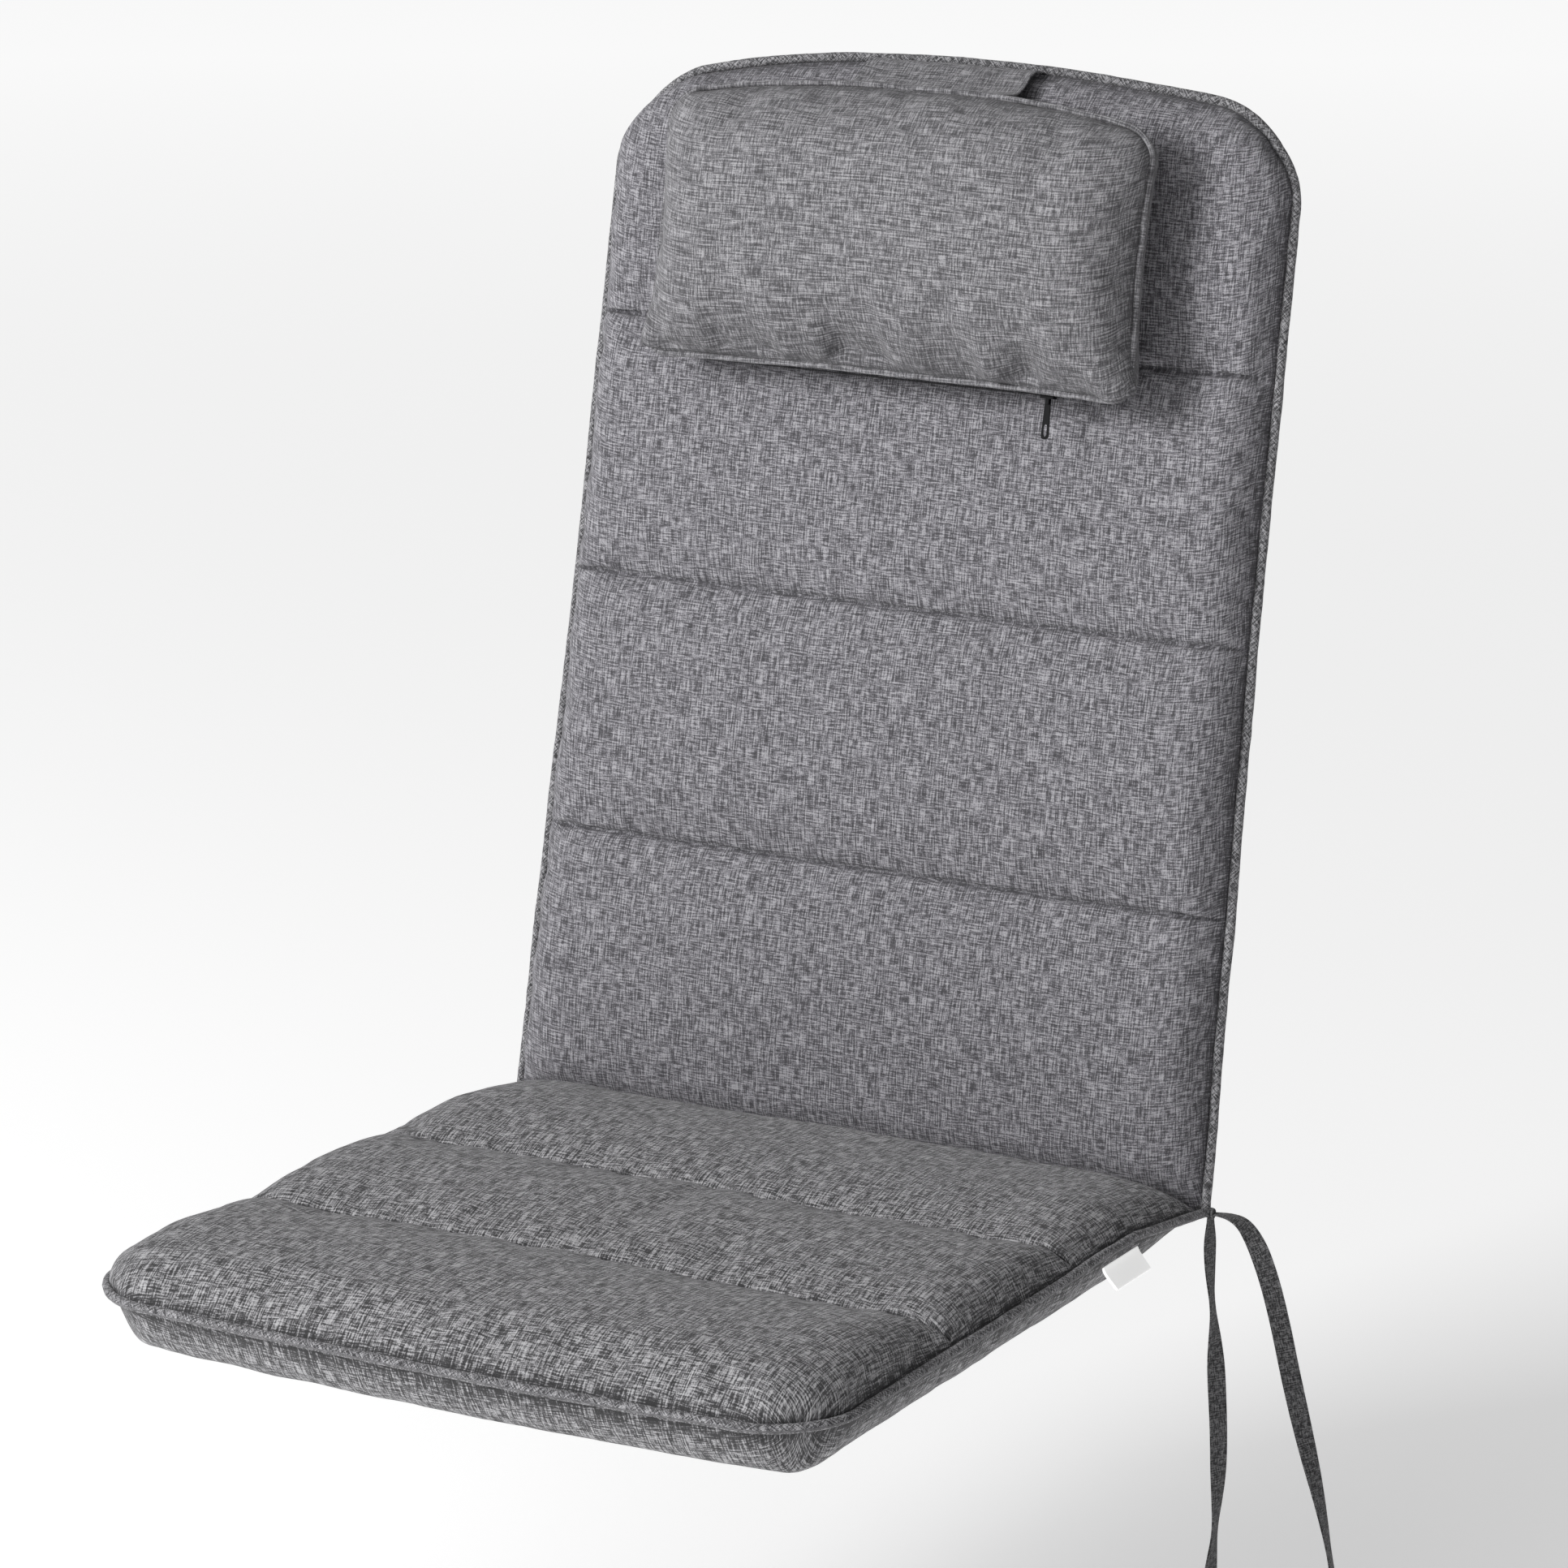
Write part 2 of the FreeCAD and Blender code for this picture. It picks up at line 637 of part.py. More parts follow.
def make_tack():
    """The stitched tack at the fold's right-hand end that holds both ties."""
    tack = doc.addObject("Part::Box", "tie_tack")
    tack.setExpression("Length", "Sizes.tack_length")
    tack.setExpression("Width", "2 * Sizes.tack_half")
    tack.setExpression("Height", "2 * Sizes.tack_half")
    tack.setExpression("Placement.Base.x", TACK_START)
    tack.setExpression("Placement.Base.y", "%s - Sizes.tack_half" % FOLD_Y)
    tack.setExpression("Placement.Base.z", "%s - Sizes.tack_half" % FOLD_Z)
    subparts.append(tack)


def rounded_path(points, label):
    """Straight runs joined by tangent arcs, each arc as large as its two runs allow."""
    edges, start, radii = [], points[0], []
    for before, corner, after in zip(points, points[1:], points[2:]):
        incoming, outgoing = corner - before, after - corner
        turn = incoming.getAngle(outgoing)
        shorter = min(incoming.Length, outgoing.Length)
        trim = RUN_SHARE * shorter
        radius = trim / math.tan(turn / 2)
        radii.append(round(radius, 1))
        incoming.normalize()
        outgoing.normalize()
        first, last = corner - incoming * trim, corner + outgoing * trim
        inward = (outgoing - incoming).normalize()
        centre_distance = radius / math.cos(turn / 2)
        middle = corner + inward * (centre_distance - radius)
        edges.append(Part.makeLine(start, first))
        edges.append(Part.Arc(first, middle, last).toShape())
        start = last
    edges.append(Part.makeLine(start, points[-1]))
    print(label, "arc radii", radii)
    return Part.Wire(edges)


def make_ties():
    """Each tie as a round rod of the same section as the flat ribbon that it stands for."""
    end = FreeCAD.Vector(value(TACK_START + " + Sizes.tack_length"), value(FOLD_Y), value(FOLD_Z))
    radius = value("Sizes.tie_radius")
    for label, route in TIE_ROUTES.items():
        path = rounded_path([end + FreeCAD.Vector(*point) for point in route], label)
        rod = tube_along(path, radius)
        expected = math.pi * radius**2 * path.Length
        if abs(rod.Volume / expected - 1) > 0.01:
            raise RuntimeError(label + ": volume is not section times length")
        print(label, "length", round(path.Length, 1))
        subparts.append(feature(label, rod))


# --- Head pillow, flap and zip ----------------------------------------------------------------

PILLOW_TOP = "(Sizes.back_length - Sizes.pillow_drop)"
PILLOW_BOTTOM = "(%s - Sizes.pillow_height)" % PILLOW_TOP
PILLOW_PLANE = "(Sizes.back_upper + Sizes.pillow_rest + Sizes.pillow_depth)"
PILLOW_INSET = "(Sizes.welt_radius + Sizes.room)"
FLAP_AXIS_UP = "(Sizes.back_length - 1)"
FLAP_AXIS_OUT = "(Sizes.piping_radius + 3 * Sizes.thread_radius)"


def pillow_block(label, inset, depth):
    """The rounded outline of the pillow, taken in at its edge and at its faces."""
    body = doc.addObject("PartDesign::Body", label)
    low = "%s - Sizes.pillow_depth + (%s)" % (PILLOW_PLANE, depth)
    high = "%s + Sizes.pillow_depth - (%s)" % (PILLOW_PLANE, depth)
    outline = new_sketch(body, label + "_outline", "XY_Plane", low)
    half = "Sizes.pillow_width / 2 - (%s)" % inset
    near, far = "%s + (%s)" % (PILLOW_BOTTOM, inset), "%s - (%s)" % (PILLOW_TOP, inset)
    add_polygon(outline, (("-(%s)" % half, near), (half, near), (half, far), ("-(%s)" % half, far)))
    pad_sketch(body, outline, label + "_block", "%s - (%s)" % (high, low))
    corner, rounding = "Sizes.pillow_corner - (%s)" % inset, "Sizes.pillow_round - (%s)" % depth
    round_block(body, label, (low, high), corner, corner, rounding, rounding)
    return body


def add_pillow_half(sketch, side):
    """A rectangle over one side (+1 in front, -1 behind) of the pillow's welt."""
    shift = "%s %s" % ("+" if side < 0 else "-", SEAM_HALF)
    edge = "%s %s %g" % (PILLOW_PLANE, "-" if side < 0 else "+", 3 * OVERSHOOT)
    near = "%s - %g" % (PILLOW_BOTTOM, OVERSHOOT)
    far = "%s + %g" % (PILLOW_TOP, OVERSHOOT)
    level = "%s %s" % (PILLOW_PLANE, shift)
    add_polygon(sketch, ((near, level), (far, level), (far, edge), (near, edge)))


def make_pillow():
    """The pillow's front and rear panels, and the filling between them."""
    hollow = pillow_block("pillow_hollow", "%s + Sizes.fabric" % PILLOW_INSET, "Sizes.fabric")
    for label, side in (("pillow_front_panel", -1), ("pillow_rear_panel", 1)):
        outer = pillow_block(label + "_outer", PILLOW_INSET, "0")
        side_cut(outer, "half", (add_pillow_half, (side,)))
        shell = doc.addObject("Part::Cut", label)
        shell.Base, shell.Tool = outer, hollow
        keep(shell, "back")
    depth = "(Sizes.fabric + Sizes.room)"
    keep(pillow_block("pillow_filling", "%s + %s" % (PILLOW_INSET, depth), depth), "back")


def make_welt():
    """The welt around the pillow's seam."""
    half, corner = value("Sizes.pillow_width") / 2, value("Sizes.pillow_corner")
    low, high, level = value(PILLOW_BOTTOM), value(PILLOW_TOP), value(PILLOW_PLANE)
    box = Part.makeBox(2 * half, high - low, 1, FreeCAD.Vector(-half, low, level))
    upright = [edge for edge in box.Edges if near_to(edge.BoundBox.ZLength, 1)]
    rim = [
        edge
        for edge in box.makeFillet(corner, upright).Edges
        if near_to(edge.BoundBox.ZMax, level)
    ]
    wire = Part.Wire(Part.__sortEdges__(rim))
    keep(feature("pillow_welt", tube_along(wire, value("Sizes.welt_radius"))), "back")


def make_flap():
    """The flap from the top seam of the back pad to the top of the pillow."""
    body = doc.addObject("PartDesign::Body", "pillow_flap")
    sketch = new_sketch(body, "flap_section", "YZ_Plane")
    half = "(Sizes.flap_fabric / 2)"
    root = "(%s + Sizes.thread_radius + Sizes.room)" % FLAP_AXIS_OUT
    bend = "(%s + Sizes.flap_rise)" % FLAP_AXIS_OUT
    foot = "(%s - Sizes.welt_radius - Sizes.room)" % PILLOW_PLANE
    low = "(%s + Sizes.welt_radius)" % PILLOW_TOP
    add_polygon(
        sketch,
        (
            ("%s - %s" % (FLAP_AXIS_UP, half), root),
            ("%s + %s" % (FLAP_AXIS_UP, half), root),
            ("%s + %s" % (FLAP_AXIS_UP, half), bend),
            ("%s + %s" % (low, half), foot),
            ("%s - %s" % (low, half), foot),
            ("%s - %s" % (FLAP_AXIS_UP, half), "%s - %s" % (bend, half)),
        ),
    )
    flap = pad_sketch(body, sketch, "flap_pad", "Sizes.flap_width")
    flap.Midplane = True
    keep(body, "back")
    stitches = doc.addObject("Part::Cylinder", "flap_stitches")
    stitches.setExpression("Radius", "Sizes.thread_radius")
    stitches.setExpression("Height", "Sizes.flap_width")
    local = FreeCAD.Vector(-value("Sizes.flap_width") / 2, value(FLAP_AXIS_UP), value(FLAP_AXIS_OUT))
    place_in_pad(stitches, "back", local, FreeCAD.Rotation(FreeCAD.Vector(0, 1, 0), 90))
    subparts.append(stitches)


ZIP_LINE = "(%s - Sizes.zip_behind)" % PILLOW_PLANE
TAPE_LEVEL = "(%s + %s - Sizes.room - Sizes.tape_thick)" % (PILLOW_BOTTOM, PILLOW_INSET)
COIL_LEVEL = "(%s - Sizes.room - Sizes.coil_radius)" % TAPE_LEVEL
COIL_SPREAD = "(Sizes.coil_radius + Sizes.room / 2)"
SLIDER_TOP = "(%s - Sizes.coil_radius - Sizes.room)" % COIL_LEVEL
PIN_LEVEL = "(%s - Sizes.slider_wall - Sizes.puller_top / 2 - Sizes.room)" % SLIDER_TOP


def back_box(label, low, size):
    """A box whose low corner and size are expressions in the back pad's frame."""
    shape = Part.makeBox(*[value(side) for side in size], FreeCAD.Vector(*[value(at) for at in low]))
    return feature(label, shape)


def back_rod(radius, length, start, direction):
    """A rod in the back pad's frame."""
    return Part.makeCylinder(value(radius), value(length), start, direction)


def make_zip():
    """Two tapes, two rows of coil and a stop at each end."""
    half = "Sizes.zip_length / 2"
    for name, gap in (("front", "Sizes.room / 2"), ("rear", "-Sizes.room / 2 - Sizes.tape_width")):
        low = ("-%s" % half, TAPE_LEVEL, "%s + %s" % (ZIP_LINE, gap))
        size = ("Sizes.zip_length", "Sizes.tape_thick", "Sizes.tape_width")
        keep(back_box("zip_tape_" + name, low, size), "back")
    inner_half = value(half) - value("Sizes.slider_wall") * 2
    for name, sign in (("front", 1), ("rear", -1)):
        out = value(ZIP_LINE) + sign * value(COIL_SPREAD)
        start = FreeCAD.Vector(-inner_half, value(COIL_LEVEL), out)
        rod = back_rod("Sizes.coil_radius", "%g" % (2 * inner_half), start, FreeCAD.Vector(1, 0, 0))
        keep(feature("zip_coil_" + name, rod), "back")
    reach = value(COIL_SPREAD) + value("Sizes.coil_radius")
    for name, at in (("left", "-%s" % half), ("right", "%s - Sizes.slider_wall" % half)):
        low = (at, "%s - Sizes.coil_radius" % COIL_LEVEL, "%s - %g" % (ZIP_LINE, reach))
        size = ("Sizes.slider_wall", "2 * Sizes.coil_radius", "%g" % (2 * reach))
        keep(back_box("zip_stop_" + name, low, size), "back")


def make_slider():
    """The channel that runs on the coil, with two ears and the puller's pin below it."""
    length, wall = value("Sizes.slider_length"), value("Sizes.slider_wall")
    clear, top, line = value("Sizes.room"), value(SLIDER_TOP), value(ZIP_LINE)
    reach = value(COIL_SPREAD) + value("Sizes.coil_radius") + clear
    start = value("Sizes.slider_home") - length / 2
    height = value(TAPE_LEVEL) - clear - top
    plate_corner = FreeCAD.Vector(start, top - wall, line - reach - wall)
    solids = [Part.makeBox(length, wall, 2 * (reach + wall), plate_corner)]
    for out in (line - reach - wall, line + reach):
        solids.append(Part.makeBox(length, height, wall, FreeCAD.Vector(start, top, out)))
    pin_radius, pin_level = value("Sizes.pin_radius"), value(PIN_LEVEL)
    grip = value("Sizes.puller_thick") / 2 + clear
    ear = value("Sizes.ear_width")
    ear_height = top - wall - pin_level + 2 * pin_radius
    for out in (line - grip - wall, line + grip):
        ear_start = value("Sizes.slider_home") - ear / 2
        corner = FreeCAD.Vector(ear_start, top - wall - ear_height, out)
        solids.append(Part.makeBox(ear, ear_height, wall, corner))
    pin_start = FreeCAD.Vector(value("Sizes.slider_home"), pin_level, line - grip - wall / 2)
    pin_length = "%g" % (2 * grip + wall)
    solids.append(back_rod("Sizes.pin_radius", pin_length, pin_start, FreeCAD.Vector(0, 0, 1)))
    shape = solids[0].multiFuse(solids[1:]).removeSplitter()
    keep(feature("zip_slider", shape), "back")


CORNER_SHARE = 0.42  # corner radius of the puller's ends, as a share of their width


def make_puller():
    """The pull tab: an eye around the pin, a tapered blade and an oval hole at the foot."""
    body = doc.addObject("PartDesign::Body", "zip_puller")
    level = "%s - Sizes.puller_thick / 2" % ZIP_LINE
    sketch = new_sketch(body, "puller_outline", "XY_Plane", level)
    home, foot = "Sizes.slider_home", "(%s - Sizes.puller_length)" % PIN_LEVEL
    top, wide = "Sizes.puller_top / 2", "Sizes.puller_foot / 2"
    crest = "%s + Sizes.puller_top / 2" % PIN_LEVEL
    add_polygon(
        sketch,
        (
            ("%s - %s" % (home, wide), foot),
            ("%s + %s" % (home, wide), foot),
            ("%s + %s" % (home, top), crest),
            ("%s - %s" % (home, top), crest),
        ),
    )
    pad_sketch(body, sketch, "puller_blade", "Sizes.puller_thick")
    for name, width, at in (
        ("foot", "puller_foot", value(foot)),
        ("top", "puller_top", value(crest)),
    ):
        round_edges(
            body,
            "puller_%s_round" % name,
            "%g * Sizes.%s" % (CORNER_SHARE, width),
            lambda box: box.YLength < 1e-6 and near_to(box.YMin, at) and box.XLength < 1e-6,
        )
    eye = new_sketch(body, "puller_eye", "XY_Plane", level)
    add_circle(eye, home, PIN_LEVEL, "Sizes.pin_radius + Sizes.pin_play")
    pocket_through(body, eye, "puller_eye_cut")
    slot = new_sketch(body, "puller_slot", "XY_Plane", level)
    thin = "Sizes.slot_half"
    low = "(%s + Sizes.slot_from_foot)" % foot
    high = "(%s + Sizes.slot_length)" % low
    add_polygon(
        slot,
        (
            ("%s - %s / 2" % (home, thin), low),
            ("%s + %s / 2" % (home, thin), low),
            ("%s + %s" % (home, thin), "%s + %s" % (low, thin)),
            ("%s + %s" % (home, thin), "%s - %s" % (high, thin)),
            ("%s + %s / 2" % (home, thin), high),
            ("%s - %s / 2" % (home, thin), high),
            ("%s - %s" % (home, thin), "%s - %s" % (high, thin)),
            ("%s - %s" % (home, thin), "%s + %s" % (low, thin)),
        ),
    )
    pocket_through(body, slot, "puller_slot_cut")
    keep(body, "back")


def build():
    """Makes every sub-part."""
    make_covers("seat", "seat_top_panel", "seat_bottom_panel")
    make_padding("seat", "seat_wadding", "seat_foam")
    make_covers("back", "back_front_panel", "back_rear_panel")
    make_padding("back", "back_wadding", "back_foam")
    for pad in ("seat", "back"):
        make_quilting(pad, pad + "_quilting")
        make_piping(pad)
    make_fold_seam()
    make_label()
    make_tack()
    make_ties()
    make_pillow()
    make_welt()
    make_flap()
    make_zip()
    make_slider()
    make_puller()
    doc.recompute()


def check_and_export():
    """Stops at any failed object or bad shape, and then writes one file for each sub-part."""
    for item in doc.Objects:
        if "Invalid" in item.State or "Error" in item.State:
            raise RuntimeError(item.Label + ": " + ", ".join(item.State))
    for item in subparts:
        if item.Shape.isNull() or not item.Shape.isValid():
            raise RuntimeError(item.Label + ": the shape is null or not valid")
        if not item.Shape.Solids:
            raise RuntimeError(item.Label + ": there is no solid")
    os.makedirs("parts", exist_ok=True)
    for item in subparts:
        item.Shape.exportStep("parts/%s.step" % item.Label)
        print(item.Label, len(item.Shape.Solids), "solid", round(item.Shape.Volume), "mm3")


build()
check_and_export()
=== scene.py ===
import json
import math

import bpy
import numpy as np
from mathutils import Matrix, Vector
from mathutils.bvhtree import BVHTree


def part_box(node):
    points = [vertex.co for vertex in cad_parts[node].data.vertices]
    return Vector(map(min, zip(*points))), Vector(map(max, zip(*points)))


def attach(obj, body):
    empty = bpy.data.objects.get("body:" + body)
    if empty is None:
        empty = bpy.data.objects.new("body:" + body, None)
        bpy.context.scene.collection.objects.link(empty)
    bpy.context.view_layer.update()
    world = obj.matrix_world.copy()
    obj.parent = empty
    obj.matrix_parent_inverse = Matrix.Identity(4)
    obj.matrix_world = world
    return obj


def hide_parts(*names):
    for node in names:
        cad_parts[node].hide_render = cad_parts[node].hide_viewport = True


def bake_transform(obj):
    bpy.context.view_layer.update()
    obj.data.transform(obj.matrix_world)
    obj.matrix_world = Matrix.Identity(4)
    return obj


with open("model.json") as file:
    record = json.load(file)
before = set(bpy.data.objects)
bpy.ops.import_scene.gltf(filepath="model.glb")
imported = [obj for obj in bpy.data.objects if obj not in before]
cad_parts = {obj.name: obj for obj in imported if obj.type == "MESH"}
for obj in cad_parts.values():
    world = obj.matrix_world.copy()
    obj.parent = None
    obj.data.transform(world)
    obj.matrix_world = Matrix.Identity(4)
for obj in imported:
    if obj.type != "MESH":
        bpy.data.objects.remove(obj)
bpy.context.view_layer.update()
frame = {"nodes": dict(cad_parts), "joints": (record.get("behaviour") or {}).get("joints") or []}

# A high-back chair cushion: a seat pad and a back pad joined at a sewn fold, and a head pillow on a
# flap. Lengths are in metres. Each pad is built flat in a frame of its own, with X across, Y away
# from the fold and Z out of the padded side, and its object's matrix then puts it in place.

MM = 0.001
LEAN = math.radians(11.5)
JOINTS = {joint["name"]: joint for joint in frame["joints"]}
FOLD = Vector(JOINTS["back_fold"]["pos_m"])

SEAT_PLACE = Matrix.Translation(FOLD) @ Matrix.Rotation(math.pi, 4, "Z")
BACK_PLACE = Matrix.Translation(FOLD) @ Matrix.Rotation(math.pi / 2 - LEAN, 4, "X")


# --- Small tools ---


def smooth_step(x):
    """0 below 0, 1 above 1 and an S curve between."""
    x = np.clip(x, 0, 1)
    return x * x * (3 - 2 * x)


def ripple(position, pitch, seed):
    """Smooth seeded noise from -1 to 1 along one coordinate, with knots a pitch apart."""
    knots = np.random.default_rng(seed).uniform(-1, 1, 4096)
    scaled = np.asarray(position) / pitch + 2048
    first = np.floor(scaled).astype(int)
    share = smooth_step(scaled - first)
    return knots[first % 4096] * (1 - share) + knots[(first + 1) % 4096] * share


def mottle(x, y, pitch, seed):
    """Smooth seeded noise from -1 to 1 over a plane."""
    knots = np.random.default_rng(seed).uniform(-1, 1, (256, 256))
    across, along = np.asarray(x) / pitch + 128, np.asarray(y) / pitch + 128
    i, j = np.floor(across).astype(int), np.floor(along).astype(int)
    s, t = smooth_step(across - i), smooth_step(along - j)
    low = knots[i % 256, j % 256] * (1 - s) + knots[(i + 1) % 256, j % 256] * s
    high = knots[i % 256, (j + 1) % 256] * (1 - s) + knots[(i + 1) % 256, (j + 1) % 256] * s
    return low * (1 - t) + high * t


def soft_min(first, second, blur):
    """The smaller of two heights, with the corner between them rounded."""
    share = np.clip(0.5 + 0.5 * (second - first) / blur, 0, 1)
    return second * (1 - share) + first * share - blur * share * (1 - share)


def edge_rise(distance, reach, power):
    """Rises from 0 at a seam, steeply at first, to 1 at the reach."""
    near = np.clip(distance / reach, 0, 1)
    return (1 - (1 - near) ** power) ** (1 / power)


def stations(length, step, marks=()):
    """Positions from 0 to length: close together at both ends and at each mark."""
    ends = np.array((0, 0.5, 1.6, 3.4, 5.8, 9, 13, 18)) * MM
    beside = np.array((-9, -5, -2.4, -1, 0, 1, 2.4, 5, 9)) * MM
    fixed = list(ends) + list(length - ends)
    for mark in marks:
        fixed += list(mark + beside)
    fixed = sorted(fixed)
    out = [fixed[0]]
    for position in fixed[1:]:
        gap = position - out[-1]
        if gap < 0.3 * MM:
            continue
        count = max(1, math.ceil(gap / step - 1e-6))
        out += list(np.linspace(out[-1], position, count + 1)[1:])
    return np.array(out)


def new_mesh(name, points, faces):
    """A smooth-shaded object from points and faces."""
    mesh = bpy.data.meshes.new(name)
    mesh.from_pydata([tuple(p) for p in points], [], [tuple(f) for f in faces])
    mesh.polygons.foreach_set("use_smooth", [True] * len(mesh.polygons))
    mesh.update()
    obj = bpy.data.objects.new(name, mesh)
    bpy.context.scene.collection.objects.link(obj)
    return obj


def read_vectors(items, key):
    """One vector from each item of a mesh, as an array."""
    out = np.zeros(len(items) * 3, np.float32)
    items.foreach_get(key, out)
    return out.reshape(-1, 3).astype(float)


def get_points(obj):
    """The points of a mesh."""
    return read_vectors(obj.data.vertices, "co")


def set_points(obj, points):
    """Moves the points of a mesh."""
    obj.data.vertices.foreach_set("co", np.asarray(points, np.float32).ravel())
    obj.data.update()


def get_normals(obj):
    """The normals at the points of a mesh."""
    return read_vectors(obj.data.vertex_normals, "vector")


def set_vectors(obj, name, values):
    """Keeps a vector for each point of a mesh."""
    attribute = obj.data.attributes.new(name, "FLOAT_VECTOR", "POINT")
    attribute.data.foreach_set("vector", np.asarray(values, np.float32).ravel())


def get_vectors(obj, name):
    """Reads back what set_vectors kept."""
    return read_vectors(obj.data.attributes[name].data, "vector")


def set_weave(obj, u, v):
    """Keeps where each point is on its flat cloth, which the weave follows."""
    set_vectors(obj, "weave", np.stack([u, v, np.zeros_like(u)], axis=-1))


def subdivide(obj):
    """One level of smooth subdivision, applied."""
    modifier = obj.modifiers.new("subdivide", "SUBSURF")
    modifier.levels = 1
    modifier.render_levels = 1
    apply_modifiers(obj)


def apply_modifiers(obj):
    """Replaces the mesh with what its modifiers make of it."""
    bpy.context.view_layer.update()
    evaluated = obj.evaluated_get(bpy.context.evaluated_depsgraph_get())
    mesh = bpy.data.meshes.new_from_object(evaluated)
    obj.modifiers.clear()
    obj.data = mesh


def grid_arc(points):
    """How far each point of a grid is from the grid's middle row and column, along the cloth."""
    across = np.cumsum(np.linalg.norm(np.diff(points, axis=0), axis=2), axis=0)
    across = np.concatenate([np.zeros((1, points.shape[1])), across])
    across -= across[points.shape[0] // 2]
    along = np.cumsum(np.linalg.norm(np.diff(points, axis=1), axis=2), axis=1)
    along = np.concatenate([np.zeros((points.shape[0], 1)), along], axis=1)
    return across, along


def hold_sharp(obj, index):
    """Keeps the seam between the two grids where it is when the pad is subdivided."""
    border = np.zeros(len(obj.data.vertices), bool)
    for part in (index[0], index[-1], index[:, 0], index[:, -1]):
        border[part] = True
    ends = np.zeros(len(obj.data.edges) * 2, np.int32)
    obj.data.edges.foreach_get("vertices", ends)
    seam = border[ends.reshape(-1, 2)].all(axis=1)
    crease = obj.data.attributes.new("crease_edge", "FLOAT", "EDGE")
    crease.data.foreach_set("value", seam.astype(np.float32))


def grid_quads(index):
    """The faces of a grid, from the number of each of its points."""
    corners = [index[:-1, :-1], index[1:, :-1], index[1:, 1:], index[:-1, 1:]]
    return np.stack(corners, axis=-1).reshape(-1, 4)


def closed_pad(name, across, along, surface):
    """A closed pad of two grids that share their border. surface(a, b, side) gives the points.

    Returns the object, its border's points, and how many of them come before the side at b = 0.
    """
    a, b = np.meshgrid(across, along, indexing="ij")
    upper, lower = surface(a, b, 1), surface(a, b, -1)
    inner = np.zeros(a.shape, bool)
    inner[1:-1, 1:-1] = True
    top_index = np.arange(a.size).reshape(a.shape)
    low_index = top_index.copy()
    low_index[inner] = a.size + np.arange(inner.sum())
    faces = []
    for index, turned in ((top_index, False), (low_index, True)):
        quads = grid_quads(index)
        faces += (quads[:, ::-1] if turned else quads).tolist()
    points = np.concatenate([upper.reshape(-1, 3), lower[inner]])
    obj = new_mesh(name, points, faces)
    hold_sharp(obj, top_index)
    arcs = zip(grid_arc(upper), grid_arc(lower))
    set_weave(obj, *(np.concatenate([above.ravel(), below[inner]]) for above, below in arcs))
    spots = [np.stack([a, b, np.full_like(a, side)], axis=-1) for side in (1, -1)]
    set_vectors(obj, "spot", np.concatenate([spots[0].reshape(-1, 3), spots[1][inner]]))
    border = np.concatenate([upper[-1, :], upper[-2::-1, -1], upper[0, -2::-1], upper[1:-1, 0]])
    return obj, border, len(border) - (len(across) - 2)


SWELL_FRAMES = 20
CLOTH_STIFFNESS = 12
CLOTH_BENDING = 0.6
CLOTH_GROWTH = -0.02  # a negative shrinkage: the cloth is a little larger than its start


def inflate(obj, held, pressure, cap):
    """Swells a closed cloth between its held points. cap limits how far each point may move."""
    start = get_points(obj)
    group = obj.vertex_groups.new(name="held")
    group.add(np.flatnonzero(held).tolist(), 1.0, "REPLACE")
    cloth = obj.modifiers.new("swell", "CLOTH")
    settings = cloth.settings
    settings.vertex_group_mass = "held"
    settings.use_pressure = True
    settings.uniform_pressure_force = pressure
    settings.shrink_min = CLOTH_GROWTH
    settings.tension_stiffness = CLOTH_STIFFNESS
    settings.compression_stiffness = CLOTH_STIFFNESS
    settings.bending_stiffness = CLOTH_BENDING
    settings.effector_weights.gravity = 0
    settings.quality = 5
    cloth.collision_settings.use_collision = False
    cloth.collision_settings.use_self_collision = False
    cloth.point_cache.frame_start = 1
    cloth.point_cache.frame_end = SWELL_FRAMES
    for number in range(1, SWELL_FRAMES + 1):
        bpy.context.scene.frame_set(number)
    apply_modifiers(obj)
    obj.vertex_groups.clear()
    moved = get_points(obj) - start
    length = np.linalg.norm(moved, axis=1, keepdims=True)
    cap = np.broadcast_to(np.asarray(cap, float), len(start))[:, None]
    moved *= cap * np.tanh(length / cap) / np.maximum(length, 1e-9)
    set_points(obj, start + moved)


# --- Materials ---


